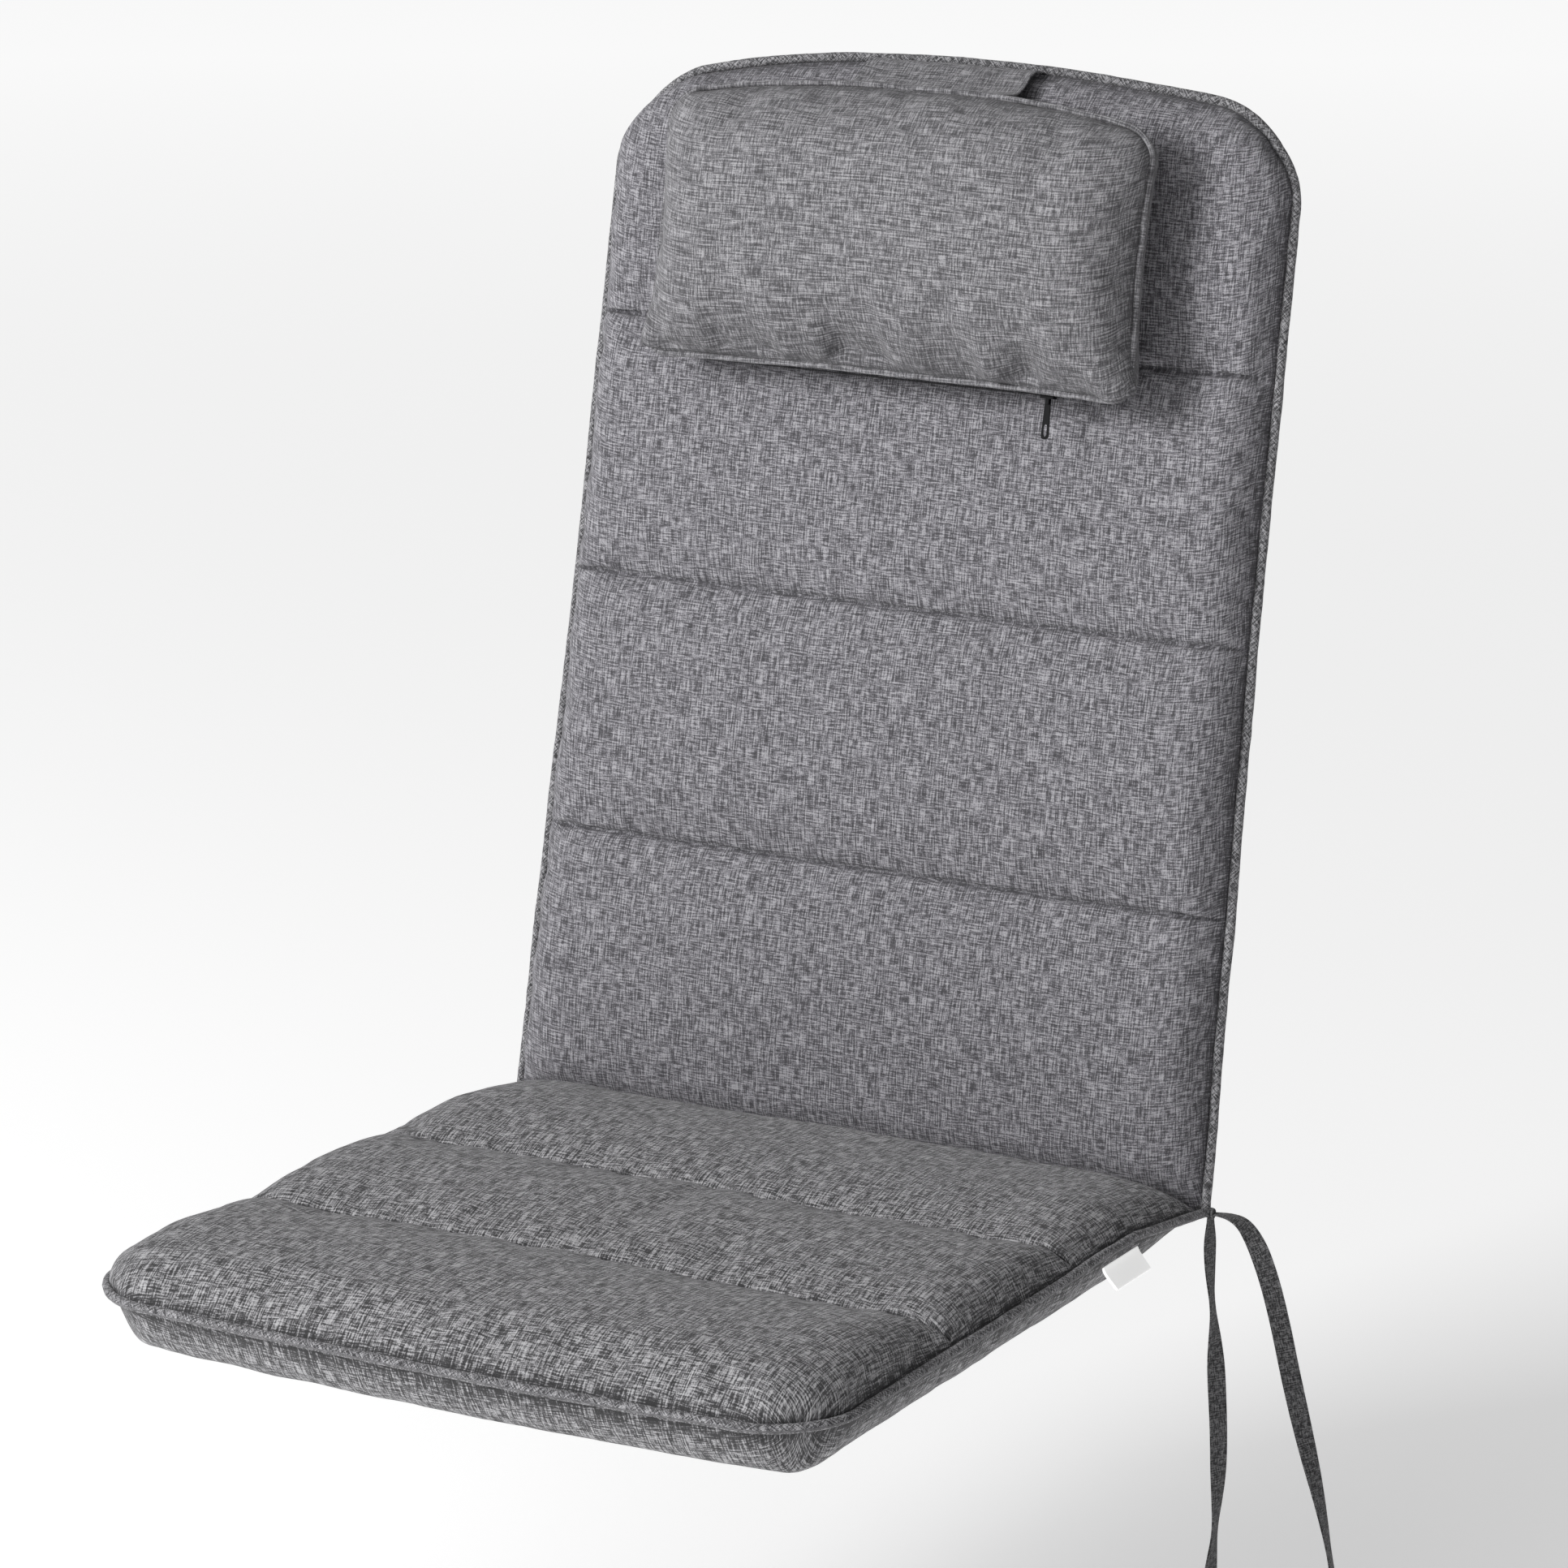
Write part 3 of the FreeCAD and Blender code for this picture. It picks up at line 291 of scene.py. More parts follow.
class Nodes:
    """A short way to write a material's nodes."""

    def __init__(self, name):
        self.material = bpy.data.materials.new(name)
        self.material.use_nodes = True
        self.tree = self.material.node_tree
        self.tree.nodes.clear()
        self.output = self.add("ShaderNodeOutputMaterial")
        self.shader = self.add("ShaderNodeBsdfPrincipled")
        self.tree.links.new(self.shader.outputs[0], self.output.inputs["Surface"])

    def add(self, kind, **settings):
        """A node with its settings."""
        node = self.tree.nodes.new(kind)
        for key, value in settings.items():
            setattr(node, key, value)
        return node

    def fix(self, socket, value):
        """Sets one of the shader's own sockets."""
        self.shader.inputs[socket].default_value = value

    def link(self, source, target):
        """Joins two sockets."""
        self.tree.links.new(source, target)

    def put(self, item, target):
        """Sets a socket to a number, or joins it to another socket."""
        if isinstance(item, (int, float)):
            target.default_value = item
        else:
            self.link(item, target)

    def math(self, operation, first, second=None):
        """A Math node on sockets or numbers."""
        node = self.add("ShaderNodeMath", operation=operation)
        self.put(first, node.inputs[0])
        if second is not None:
            self.put(second, node.inputs[1])
        return node.outputs[0]

    def scaled(self, vector, scale):
        """A vector times three numbers."""
        node = self.add("ShaderNodeMapping")
        node.inputs["Scale"].default_value = scale
        self.link(vector, node.inputs["Vector"])
        return node.outputs[0]

    def noise(self, vector, scale, detail=2.0, roughness=0.5):
        """A noise that is stretched by three scales."""
        node = self.add("ShaderNodeTexNoise")
        node.inputs["Scale"].default_value = 1.0
        node.inputs["Detail"].default_value = detail
        node.inputs["Roughness"].default_value = roughness
        self.link(self.scaled(vector, scale), node.inputs["Vector"])
        return node.outputs[0]

    def mix(self, share, first, second):
        """Blends two numbers."""
        node = self.add("ShaderNodeMix", data_type="FLOAT")
        for place, item in ((0, share), (2, first), (3, second)):
            self.put(item, node.inputs[place])
        return node.outputs[0]

    def ramp(self, value, stops):
        """Colours along a value."""
        node = self.add("ShaderNodeValToRGB")
        elements = node.color_ramp.elements
        while len(elements) < len(stops):
            elements.new(0.5)
        for element, (place, colour) in zip(elements, stops):
            element.position = place
            element.color = (*colour, 1)
        self.link(value, node.inputs[0])
        return node.outputs[0]

    def bump(self, height, distance, strength=1.0):
        """Turns a height into a bumped normal on the shader."""
        node = self.add("ShaderNodeBump")
        node.inputs["Distance"].default_value = distance
        node.inputs["Strength"].default_value = strength
        self.link(height, node.inputs["Height"])
        self.link(node.outputs[0], self.shader.inputs["Normal"])


def grey(level, tint):
    """A grey with a slight violet-blue tint."""
    return (level * (1 + 0.1 * tint), level * (1 - 0.02 * tint), level * (1 + 0.4 * tint))


SPECK_SHARE = 0.22  # how much of a thread's tone is even speckle rather than long stretches
CLOUD_SCALE = 45
CLOUD_STRENGTH = 0.035
# Painted shade: how much darker the cloth is drawn where the crease attribute is high
CREASE_SHADE_STRENGTH = 0.12


def melange(name, level, contrast, tint, warp_run, weft_run, thread, turned=False):
    """Woven melange: light and dark stretches of thread in both directions, over a plain weave.

    The runs are the lengths of those stretches and thread is a thread's width, all in millimetres.
    Painted shade: the cloth is drawn darker where a mesh's "crease" attribute is high, along its seams.
    """
    n = Nodes(name)
    place = n.add("ShaderNodeAttribute", attribute_name="weave").outputs["Vector"]
    if turned:
        turn = n.add("ShaderNodeMapping")
        turn.inputs["Rotation"].default_value = (0, 0, math.pi / 4)
        n.link(place, turn.inputs["Vector"])
        place = turn.outputs[0]
    fine = 1000 / thread
    warp = n.noise(place, (fine, 1000 / warp_run, 1), 1.0, 0.6)
    weft = n.noise(place, (1000 / weft_run, fine, 1), 1.0, 0.6)
    speck = n.noise(place, (fine, fine, 1), 1.0)
    threads = n.math("MULTIPLY", n.math("ADD", warp, weft), 0.5)
    threads = n.mix(SPECK_SHARE, threads, speck)
    cloud = n.math("SUBTRACT", n.noise(place, (CLOUD_SCALE, CLOUD_SCALE, 1), 1.0), 0.5)
    value = n.math("ADD", threads, n.math("MULTIPLY", cloud, CLOUD_STRENGTH))
    # Painted shade along seams and quilting lines, read from the mesh's crease attribute
    crease = n.add("ShaderNodeAttribute", attribute_name="crease").outputs["Fac"]
    value = n.math("SUBTRACT", value, n.math("MULTIPLY", crease, CREASE_SHADE_STRENGTH))
    dark, light = level * (1 - contrast), level * (1 + 1.25 * contrast)
    colour = n.ramp(
        value,
        (
            (0.40, grey(dark * 0.6, tint)),
            (0.46, grey(dark, tint)),
            (0.50, grey(level, tint)),
            (0.54, grey(light, tint * 0.8)),
            (0.60, grey(light * 1.5, tint * 0.6)),
        ),
    )
    n.link(colour, n.shader.inputs["Base Color"])
    n.fix("Roughness", 0.93)
    n.fix("Specular IOR Level", 0.2)
    n.fix("Sheen Weight", 0.12)
    n.fix("Sheen Roughness", 0.5)
    ribs = n.add("ShaderNodeSeparateXYZ")
    n.link(n.scaled(place, (2 * math.pi * fine, 2 * math.pi * fine, 1)), ribs.inputs[0])
    rib = n.math("MULTIPLY", n.math("SINE", ribs.outputs[0]), n.math("SINE", ribs.outputs[1]))
    height = n.math("ADD", n.math("MULTIPLY", rib, 0.25), n.math("MULTIPLY", threads, 1.4))
    n.bump(height, 0.0003, 0.8)
    return n.material


def plain(name, colour, rough, shine=0.5, glow=0.0, grain=600.0, depth=0.00005, spread=0.12):
    """A plain surface with a fine grain and a slight unevenness in colour."""
    n = Nodes(name)
    place = n.add("ShaderNodeTexCoord").outputs["Object"]
    fleck = n.noise(place, (grain, grain, grain), 3.0)
    low = tuple(c * (1 - spread) for c in colour)
    high = tuple(min(1.0, c * (1 + spread)) for c in colour)
    n.link(n.ramp(fleck, ((0.3, low), (0.7, high))), n.shader.inputs["Base Color"])
    n.fix("Roughness", rough)
    n.fix("Specular IOR Level", shine)
    n.fix("Emission Color", (1, 1, 1, 1))
    n.fix("Emission Strength", glow)
    n.bump(fleck, depth)
    return n.material


# Name, tone, contrast, tint, runs along warp and weft, and thread width.
COVER = melange("cover_melange", 0.168, 0.40, 0.22, 12.0, 9.0, 0.95)
# The seat's cloth is the back's fabric again, a little lighter and less violet: painted light and
# sheen. Its higher contrast keeps the weave plain on the foreshortened seat.
SEAT_COVER = melange("seat_cover_melange", 0.172, 0.60, 0.10, 13.0, 10.0, 1.05)
PILLOW = melange("pillow_melange", 0.165, 0.32, 0.15, 9.0, 18.0, 1.0)
PIPING = melange("piping_melange", 0.160, 0.54, 0.12, 6.0, 6.0, 0.85, turned=True)
TIE = melange("tie_melange", 0.095, 0.50, 0.08, 5.0, 5.0, 0.8)
THREAD = plain("thread", (0.2, 0.2, 0.21), 0.7, grain=1500.0)
# The label's glow is painted light: the white tag is drawn brighter than the lamps light it
LABEL = plain("label", (0.92, 0.92, 0.91), 0.6, glow=0.38, grain=900.0, spread=0.04)
ENAMEL = plain("black_enamel", (0.004, 0.004, 0.005), 0.55, shine=0.1, grain=400.0)
COIL = plain("zip_coil", (0.015, 0.015, 0.016), 0.45, grain=900.0)
TAPE = plain("zip_tape", (0.03, 0.03, 0.032), 0.9, grain=1800.0, depth=0.0002)


def paint(obj, material):
    """Gives an object its one material."""
    obj.data.materials.clear()
    obj.data.materials.append(material)


# --- The seat and back pads ---


class Pad:
    """Sizes of one pad in its own frame.

    half is half its width and levels its height, at distances from the fold. arch is how far its far
    edge falls towards the corners, and slump how much more on one side. Its seam drops by drop within
    drop_run of the fold. fullness sets how flat the channels between its grooves are, and reach and
    power shape the rounding beside the seams.
    """

    def __init__(self, name, place, **sizes):
        self.name = name
        self.place = place
        self.__dict__.update(sizes)


WIDTH = 0.5
SEAT_PAD = Pad(
    "seat_pad",
    SEAT_PLACE,
    cover=SEAT_COVER,
    length=0.510,
    half=((0, 0.250), (0.2, 0.2505), (0.51, 0.2515)),
    arch=0.010,
    slump=0.0,
    corner=0.050,
    drop=0.014,
    drop_run=0.100,
    quilts=(0.176, 0.333),
    levels=(
        (0, 0.021), (0.05, 0.0245), (0.11, 0.0295), (0.176, 0.0295),
        (0.25, 0.034), (0.333, 0.033), (0.42, 0.038), (0.51, 0.036),
    ),
    groove=0.0072,
    fullness=2.2,
    upper_reach=0.046,
    upper_power=2.2,
    depth=0.022,
    lower_reach=0.022,
    lower_power=2.2,
    lower_inset=0.009,
    seed=11,
)
BACK_PAD = Pad(
    "back_pad",
    BACK_PLACE,
    cover=COVER,
    length=0.696,
    half=((0, 0.250), (0.183, 0.246), (0.349, 0.2425), (0.577, 0.241), (0.7, 0.240)),
    arch=0.0205,
    slump=0.013,
    corner=0.056,
    drop=0.0,
    drop_run=0.065,
    quilts=(0.183, 0.351, 0.519),
    levels=((0, 0.021), (0.09, 0.024), (0.183, 0.023), (0.35, 0.023), (0.52, 0.0225), (0.7, 0.021)),
    groove=0.0068,
    fullness=2.2,
    upper_reach=0.030,
    upper_power=2.2,
    depth=0.024,
    lower_reach=0.055,
    lower_power=2.0,
    lower_inset=0.0,
    seed=23,
)
NOSE_SLOPE = math.tan((math.pi / 2 + LEAN) / 2)
INSET = 0.0021  # from the piping's centre line to the edge of the covers
PIPING_RADIUS = 0.0030
PAD_STEP = 0.0075  # the largest face of a pad before it is subdivided
PAD_PRESSURE = 4.0
CREASE_SHADE_REACH = 0.0012  # how far the painted shade line beside a seam goes


def table_value(table, position):
    """Reads a short table of (position, value) pairs."""
    places, values = zip(*table)
    return np.interp(position, places, values)


def pad_outline(pad, a, b, inset):
    """Plan position of a point that is a of the width across and b along."""
    share = 2 * a / WIDTH - 1
    half = table_value(pad.half, b) - inset
    x = share * half
    length = pad.length - inset
    y = b * length / pad.length
    radius = pad.corner - inset
    p = np.clip((np.abs(x) - (half - radius)) / radius, 0, 1)
    q = np.clip((y - (length - radius)) / radius, 0, 1)
    corner = (p > 0) & (q > 0)
    x = np.where(corner, np.sign(x) * (half - radius + radius * p * np.sqrt(1 - q * q / 2)), x)
    y = np.where(corner, length - radius + radius * q * np.sqrt(1 - p * p / 2), y)
    bow = smooth_step((b - pad.quilts[-1]) / (pad.length - pad.quilts[-1]))
    y = y - (pad.arch * share**2 + pad.slump * np.clip(-share, 0, 1) ** 2.5) * bow
    return x, y


def channel_shape(pad, b):
    """0 on a quilting line and at the pad's ends, 1 in the middle of a channel."""
    limits = np.array((-0.06,) + tuple(pad.quilts) + (pad.length + 0.03,))
    index = np.clip(np.searchsorted(limits, b) - 1, 0, len(limits) - 2)
    share = (b - limits[index]) / (limits[index + 1] - limits[index])
    return np.sqrt(1 - np.abs(2 * share - 1) ** pad.fullness + 1e-9)


def pad_surface(pad):
    """The function that gives a pad's points on its padded (+1) and flat (-1) sides."""

    def surface(a, b, side):
        x, y = pad_outline(pad, a, b, INSET)
        seam = pad.drop * np.clip(b / pad.drop_run, 0, 1)
        side_gap = np.minimum(a, WIDTH - a)
        end_gap = pad.length - b
        if side > 0:
            level = table_value(pad.levels, b) - pad.groove * (1 - channel_shape(pad, b))
            level = level + 0.0012 * mottle(x, y, 0.09, pad.seed)
            nose = NOSE_SLOPE * b - 0.0003
            level = soft_min(nose, level + 0.002, 0.012)
            reach = pad.upper_reach + 0.045 * np.exp(-b / 0.045)
            rise = edge_rise(side_gap, reach, pad.upper_power)
            rise = rise * edge_rise(end_gap, pad.upper_reach, pad.upper_power)
            z = seam + (level - seam) * rise
            z = np.minimum(z, np.maximum(nose, 0) + 1e-6)
            z = np.where(b <= 0, 0, z)
        else:
            rise = edge_rise(side_gap, pad.lower_reach, pad.lower_power)
            rise = rise * edge_rise(end_gap, pad.lower_reach, pad.lower_power)
            taper = 0.024 + 0.085 * np.exp(-side_gap / 0.03)
            rise = rise * edge_rise(b, taper, 1.7)
            z = seam - (seam + pad.depth) * rise
            pull = pad.lower_inset * rise * np.clip(1 - np.minimum(side_gap, end_gap) / 0.08, 0, 1)
            x = x - np.sign(x) * pull * np.clip(1 - side_gap / 0.08, 0, 1)
            y = y - pull * np.clip(1 - end_gap / 0.08, 0, 1)
        return np.stack([x, y, z], axis=-1)

    return surface


def pad_details(pad, obj):
    """Gathers beside the seams and quilting lines, and the sharp line and shade of each seam."""
    points, normals, spot = get_points(obj), get_normals(obj), get_vectors(obj, "spot")
    a, b, side = spot.T
    lift = np.zeros(len(points))
    upper = smooth_step(side * 0.5 + 0.5)
    for number, line in enumerate(pad.quilts):
        away = np.abs(b - line)
        lift -= upper * 0.0023 * np.exp(-away / 0.0022)
        fold = ripple(a + 0.35 * (b - line), 0.010, pad.seed + number) * 0.6
        fold = fold + ripple(a - 0.2 * (b - line), 0.023, pad.seed + 40 + number)
        lift += upper * 0.0009 * fold * np.exp(-away / 0.013) * smooth_step(away / 0.002)
    side_gap = np.minimum(a, WIDTH - a)
    end_gap = pad.length - b
    for gap, along in ((side_gap, b), (end_gap, a)):
        fold = ripple(along, 0.011, pad.seed + 70) + 0.8 * ripple(along, 0.026, pad.seed + 71)
        strength = 0.0006 * np.exp(-gap / 0.012) * smooth_step(gap / 0.003)
        lift += strength * fold
    pucker = ripple(a, 0.017, pad.seed + 90) + 0.7 * ripple(a, 0.008, pad.seed + 91)
    lift += 0.0004 * pucker * np.exp(-b / 0.03) * smooth_step(b / 0.008) * smooth_step(side_gap / 0.004)
    lift += 0.0005 * mottle(points[:, 0], points[:, 1], 0.03, pad.seed + 5)
    lift *= smooth_step(side_gap / 0.002) * smooth_step(end_gap / 0.002) * smooth_step(b / 0.003)
    set_points(obj, points + normals * lift[:, None])
    # Painted shade: a dark line along the side and end seams and, on the padded side, along each
    # quilting line
    crease = 0.75 * np.exp(-np.minimum(side_gap, end_gap) / CREASE_SHADE_REACH)
    for line in pad.quilts:
        crease = np.maximum(crease, 0.4 * upper * np.exp(-((b - line) ** 2) / 0.0014**2))
    set_vectors(obj, "crease", np.stack([crease] * 3, axis=-1))


def make_pad(pad):
    """One pad's cover: built, swollen as cloth between its seams, and given its gathers."""
    across = stations(WIDTH, PAD_STEP)
    along = stations(pad.length, PAD_STEP, pad.quilts)
    obj, border, open_count = closed_pad(pad.name, across, along, pad_surface(pad))
    spot = get_vectors(obj, "spot")
    a, b, side = spot.T
    held = (a <= 1e-6) | (a >= WIDTH - 1e-6) | (b <= 0.004) | (b >= pad.length - 1e-6)
    for line in pad.quilts:
        held |= (np.abs(b - line) < 0.0004) & (side > 0)
    near_fold = smooth_step((b - 0.01) / 0.09)
    inflate(obj, held, PAD_PRESSURE, np.where(side > 0, 0.0005 + 0.0035 * near_fold, 0.0012))
    subdivide(obj)
    pad_details(pad, obj)
    return obj, border[:open_count]


def keep_apart(obj):
    """Keeps the padded side of a pad on its own side of the plane where the two pads touch."""
    points, spot = get_points(obj), get_vectors(obj, "spot")
    limit = NOSE_SLOPE * np.maximum(points[:, 1], 0) - 0.0002
    near = (spot[:, 1] < 0.08) & (spot[:, 2] > -0.5)
    points[:, 2] = np.where(near, np.minimum(points[:, 2], limit), points[:, 2])
    set_points(obj, points)


def bend_at_fold(obj):
    """Bakes a piece's placement into its mesh."""
    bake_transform(obj)


def resample(path, step, closed=False):
    """Points an even step apart along a path."""
    path = np.asarray(path, float)
    if closed:
        path = np.concatenate([path, path[:1]])
    run = np.concatenate([[0], np.cumsum(np.linalg.norm(np.diff(path, axis=0), axis=1))])
    count = max(2, round(run[-1] / step))
    places = np.linspace(0, run[-1], count + 1)
    out = np.stack([np.interp(places, run, path[:, k]) for k in range(3)], axis=-1)
    return (out[:-1] if closed else out), places


TUBE_STEP = 0.0035


def tube(name, path, radius, seed, closed=False, outward=0.0, sides=14):
    """A piped edge: a tube along a path that lies nearly flat, with its sleeve slightly puckered."""
    centre, run = resample(path, TUBE_STEP, closed)
    ahead = np.roll(centre, -1, axis=0) - np.roll(centre, 1, axis=0)
    if not closed:
        ahead[0], ahead[-1] = centre[1] - centre[0], centre[-1] - centre[-2]
    ahead /= np.linalg.norm(ahead, axis=1, keepdims=True)
    up = np.array((0.0, 0.0, 1.0))
    side = np.cross(ahead, up)
    side /= np.linalg.norm(side, axis=1, keepdims=True)
    rise = np.cross(side, ahead)
    count = len(centre)
    run = run[:count]
    centre = centre + side * (outward + 0.0005 * ripple(run, 0.045, seed))[:, None]
    centre = centre + rise * (0.0004 * ripple(run, 0.06, seed + 1))[:, None]
    angles = np.linspace(0, 2 * math.pi, sides, endpoint=False)
    reach = radius * (1 + 0.05 * ripple(run, 0.009, seed + 2) + 0.03 * ripple(run, 0.004, seed + 3))
    points = (
        centre[:, None, :]
        + side[:, None, :] * (np.cos(angles)[None, :, None] * reach[:, None, None])
        + rise[:, None, :] * (np.sin(angles)[None, :, None] * reach[:, None, None])
    ).reshape(-1, 3)
    faces = []
    for ring in range(count if closed else count - 1):
        low, high = ring * sides, (ring + 1) % count * sides
        for k in range(sides):
            beside = (k + 1) % sides
            faces.append((low + k, high + k, high + beside, low + beside))
    if not closed:
        faces.append(tuple(range(sides)))
        faces.append(tuple(range((count - 1) * sides, count * sides))[::-1])
    obj = new_mesh(name, points, faces)
    set_weave(obj, np.repeat(run, sides), np.tile(angles * radius, count))
    return obj


STITCH = 0.0030
STITCH_GAP = 0.0016


def add_stitch(points, faces, ends, radius, lift=0.0):
    """Adds one stitch through three points: full and raised in the middle, thin at its ends."""
    first = len(points)
    for (x, y, z), size, raised in zip(ends, (0.5, 1.0, 0.5), (0.0, lift, 0.0)):
        for k in range(6):
            turn = k * math.pi / 3
            around, over = math.cos(turn) * size, math.sin(turn) * size + raised
            points.append((x, y + around * radius, z + over * radius))
    for low in (first, first + 6):
        for k in range(6):
            beside = (k + 1) % 6
            faces.append((low + k, low + beside, low + 6 + beside, low + 6 + k))
    faces.append(tuple(first + k for k in range(6))[::-1])
    faces.append(tuple(first + 12 + k for k in range(6)))


def quilt_stitches(name, obj, line, half, radius=0.00032):
    """A run of stitches that lies in a quilting groove of a pad, in the pad's frame."""
    tree = BVHTree.FromObject(obj, bpy.context.evaluated_depsgraph_get())
    points, faces = [], []
    position = -half
    while position < half:
        ends = []
        for x in (position, position + STITCH / 2, position + STITCH):
            hit = tree.ray_cast(Vector((x, line, 0.2)), Vector((0, 0, -1)))[0]
            if hit is None:
                break
            ends.append(hit)
        position += STITCH + STITCH_GAP
        if len(ends) == 3:
            add_stitch(points, faces, ends, radius, 0.6)
    run = new_mesh(name, points, faces)
    paint(run, THREAD)
    return run


STITCH_MARGIN = 0.014  # between a quilting run's end and the side seam


def make_pads():
    """Both pads with their piping and quilting stitches."""
    nodes = {
        "seat_pad": ("seat_top_panel", "seat_bottom_panel", "seat_wadding", "seat_foam"),
        "back_pad": ("back_front_panel", "back_rear_panel", "back_wadding", "back_foam"),
    }
    names = {"seat_pad": ("rear", "front"), "back_pad": ("low", "mid", "high")}
    for pad in (SEAT_PAD, BACK_PAD):
        body = pad.name.split("_")[0]
        obj, border = make_pad(pad)
        keep_apart(obj)
        for word, line in zip(names[pad.name], pad.quilts):
            half = float(table_value(pad.half, line)) - STITCH_MARGIN
            run = quilt_stitches("%s_stitches_%s" % (body, word), obj, line, half)
            run.matrix_world = pad.place
            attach(run, body)
            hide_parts("%s_quilting_%s" % (body, word))
        obj.matrix_world = pad.place
        paint(obj, pad.cover)
        bend_at_fold(obj)
        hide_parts(*nodes[pad.name])
        piping = tube(body + "_piping", border[1:-1], PIPING_RADIUS, pad.seed, outward=INSET)
        piping.matrix_world = pad.place
        paint(piping, PIPING)
        bend_at_fold(piping)
        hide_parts(body + "_piping_sleeve", body + "_piping_cord")


# --- Head pillow, flap and zip ---

PILLOW_WIDTH, PILLOW_HEIGHT, PILLOW_DEPTH = 0.342, 0.178, 0.038
PILLOW_BOTTOM, PILLOW_PLANE = 0.494, 0.0625
PILLOW_PLACE = BACK_PLACE @ Matrix.Translation((0, PILLOW_BOTTOM, PILLOW_PLANE))
PILLOW_CORNERS = {"top": 0.017, "bottom": 0.012}
PILLOW_DROOP = 0.016  # how far its upper corners hang below the middle of its top edge
PILLOW_STEP = 0.006
PILLOW_PRESSURE = 5.0
WELT_RADIUS = 0.0019
WELT_OUTWARD = 0.0014


def pillow_surface(a, b, side):
    """The pillow's points: a loaf with square lower corners, and upper corners that droop."""
    share = 2 * a / PILLOW_WIDTH - 1
    rise_share = b / PILLOW_HEIGHT
    half = PILLOW_WIDTH / 2 - 0.0012 - 0.003 * (1 - (2 * rise_share - 1) ** 2)
    x, y = share * half, b.copy()
    for corner, radius in PILLOW_CORNERS.items():
        top = corner == "top"
        across = np.clip((np.abs(x) - (half - radius)) / radius, 0, 1)
        along = (y - (PILLOW_HEIGHT - radius)) / radius if top else (radius - y) / radius
        along = np.clip(along, 0, 1)
        inside = (across > 0) & (along > 0)
        sideways = half - radius + radius * across * np.sqrt(1 - along**2 / 2)
        x = np.where(inside, np.sign(x) * sideways, x)
        bent = radius * along * np.sqrt(1 - across**2 / 2)
        y = np.where(inside, PILLOW_HEIGHT - radius + bent if top else radius - bent, y)
    y = y - PILLOW_DROOP * np.abs(share) ** 2.4 * smooth_step(rise_share) + 0.0015
    y = y + 0.003 * (1 - share**2) * (1 - rise_share) * (1 - rise_share)
    side_gap = np.minimum(a, PILLOW_WIDTH - a)
    end_gap = np.minimum(b, PILLOW_HEIGHT - b)
    if side > 0:
        rise = edge_rise(side_gap, 0.055, 2.1) * edge_rise(b, 0.075, 1.9)
        rise = rise * edge_rise(PILLOW_HEIGHT - b, 0.050, 2.1)
        level = PILLOW_DEPTH - 0.005 + 0.0015 * mottle(x, y, 0.06, 301)
    else:
        rise = edge_rise(side_gap, 0.034, 2.4) * edge_rise(end_gap, 0.030, 2.4)
        level = PILLOW_DEPTH - 0.0025
    return np.stack([x, y, side * level * rise], axis=-1)


def make_pillow():
    """The head pillow, with gathers along its seams, and its welt."""
    across, along = stations(PILLOW_WIDTH, PILLOW_STEP), stations(PILLOW_HEIGHT, PILLOW_STEP)
    obj, border, _ = closed_pad("head_pillow", across, along, pillow_surface)
    a, b, side = get_vectors(obj, "spot").T
    held = (a <= 1e-6) | (a >= PILLOW_WIDTH - 1e-6) | (b <= 1e-6) | (b >= PILLOW_HEIGHT - 1e-6)
    inflate(obj, held, PILLOW_PRESSURE, np.where(side > 0, 0.006, 0.001))
    subdivide(obj)
    points, normals, spot = get_points(obj), get_normals(obj), get_vectors(obj, "spot")
    a, b, side = spot.T
    front = smooth_step(side * 0.5 + 0.5)
    lift = np.zeros(len(points))
    # Gathers at the bottom, top and both sides: gap to the seam, run along it, height, reach, seed.
    edges = (
        (b, a, 0.0062, 0.034, 311),
        (PILLOW_HEIGHT - b, a, 0.0010, 0.016, 321),
        (a, b, 0.0009, 0.014, 331),
        (PILLOW_WIDTH - a, b, 0.0011, 0.016, 341),
    )
    for gap, run, height, reach, seed in edges:
        gather = 0.6 * ripple(run, 0.012, seed) + ripple(run + 0.2 * gap, 0.021, seed + 1)
        fade = np.exp(-gap / reach) * smooth_step(gap / 0.004)
        lift += height * gather * fade * (0.25 + 0.75 * front)
    lift += 0.0008 * mottle(points[:, 0], points[:, 1], 0.028, 351) * front
    points += normals * lift[:, None]
    rest = -(PILLOW_DEPTH - 0.0003)
    points[:, 2] = np.maximum(points[:, 2], rest)
    set_points(obj, points)
    # Painted shade: a dark line along the pillow's seams, and the cloth drawn darker towards its bottom
    # edge
    seam_gap = np.minimum(np.minimum(a, PILLOW_WIDTH - a), np.minimum(b, PILLOW_HEIGHT - b))
    crease = np.maximum(0.7 * np.exp(-seam_gap / CREASE_SHADE_REACH), 0.3 * np.exp(-b / 0.022))
    set_vectors(obj, "crease", np.stack([crease] * 3, axis=-1))
    obj.matrix_world = PILLOW_PLACE
    paint(obj, PILLOW)
    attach(obj, "pillow")
    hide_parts("pillow_front_panel", "pillow_rear_panel", "pillow_filling")
    welt = tube("pillow_welt_tube", border, WELT_RADIUS, 361, True, WELT_OUTWARD, sides=10)
    welt.matrix_world = PILLOW_PLACE
    paint(welt, PILLOW)
    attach(welt, "pillow")
    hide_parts("pillow_welt")


FLAP_WIDTH = 0.118
FLAP_THICKNESS = 0.0015
FLAP_STITCHES = (0, 0.6925, 0.0046)
# From the back pad's top seam to the pillow's: distance along the back pad, and height off it.
FLAP_PATH = (
    (0.6930, 0.0040), (0.6932, 0.0095), (0.6895, 0.0165), (0.6830, 0.0235),
    (0.6775, 0.0310), (0.6755, 0.0410), (0.6747, 0.0520), (0.6738, 0.0612),
)


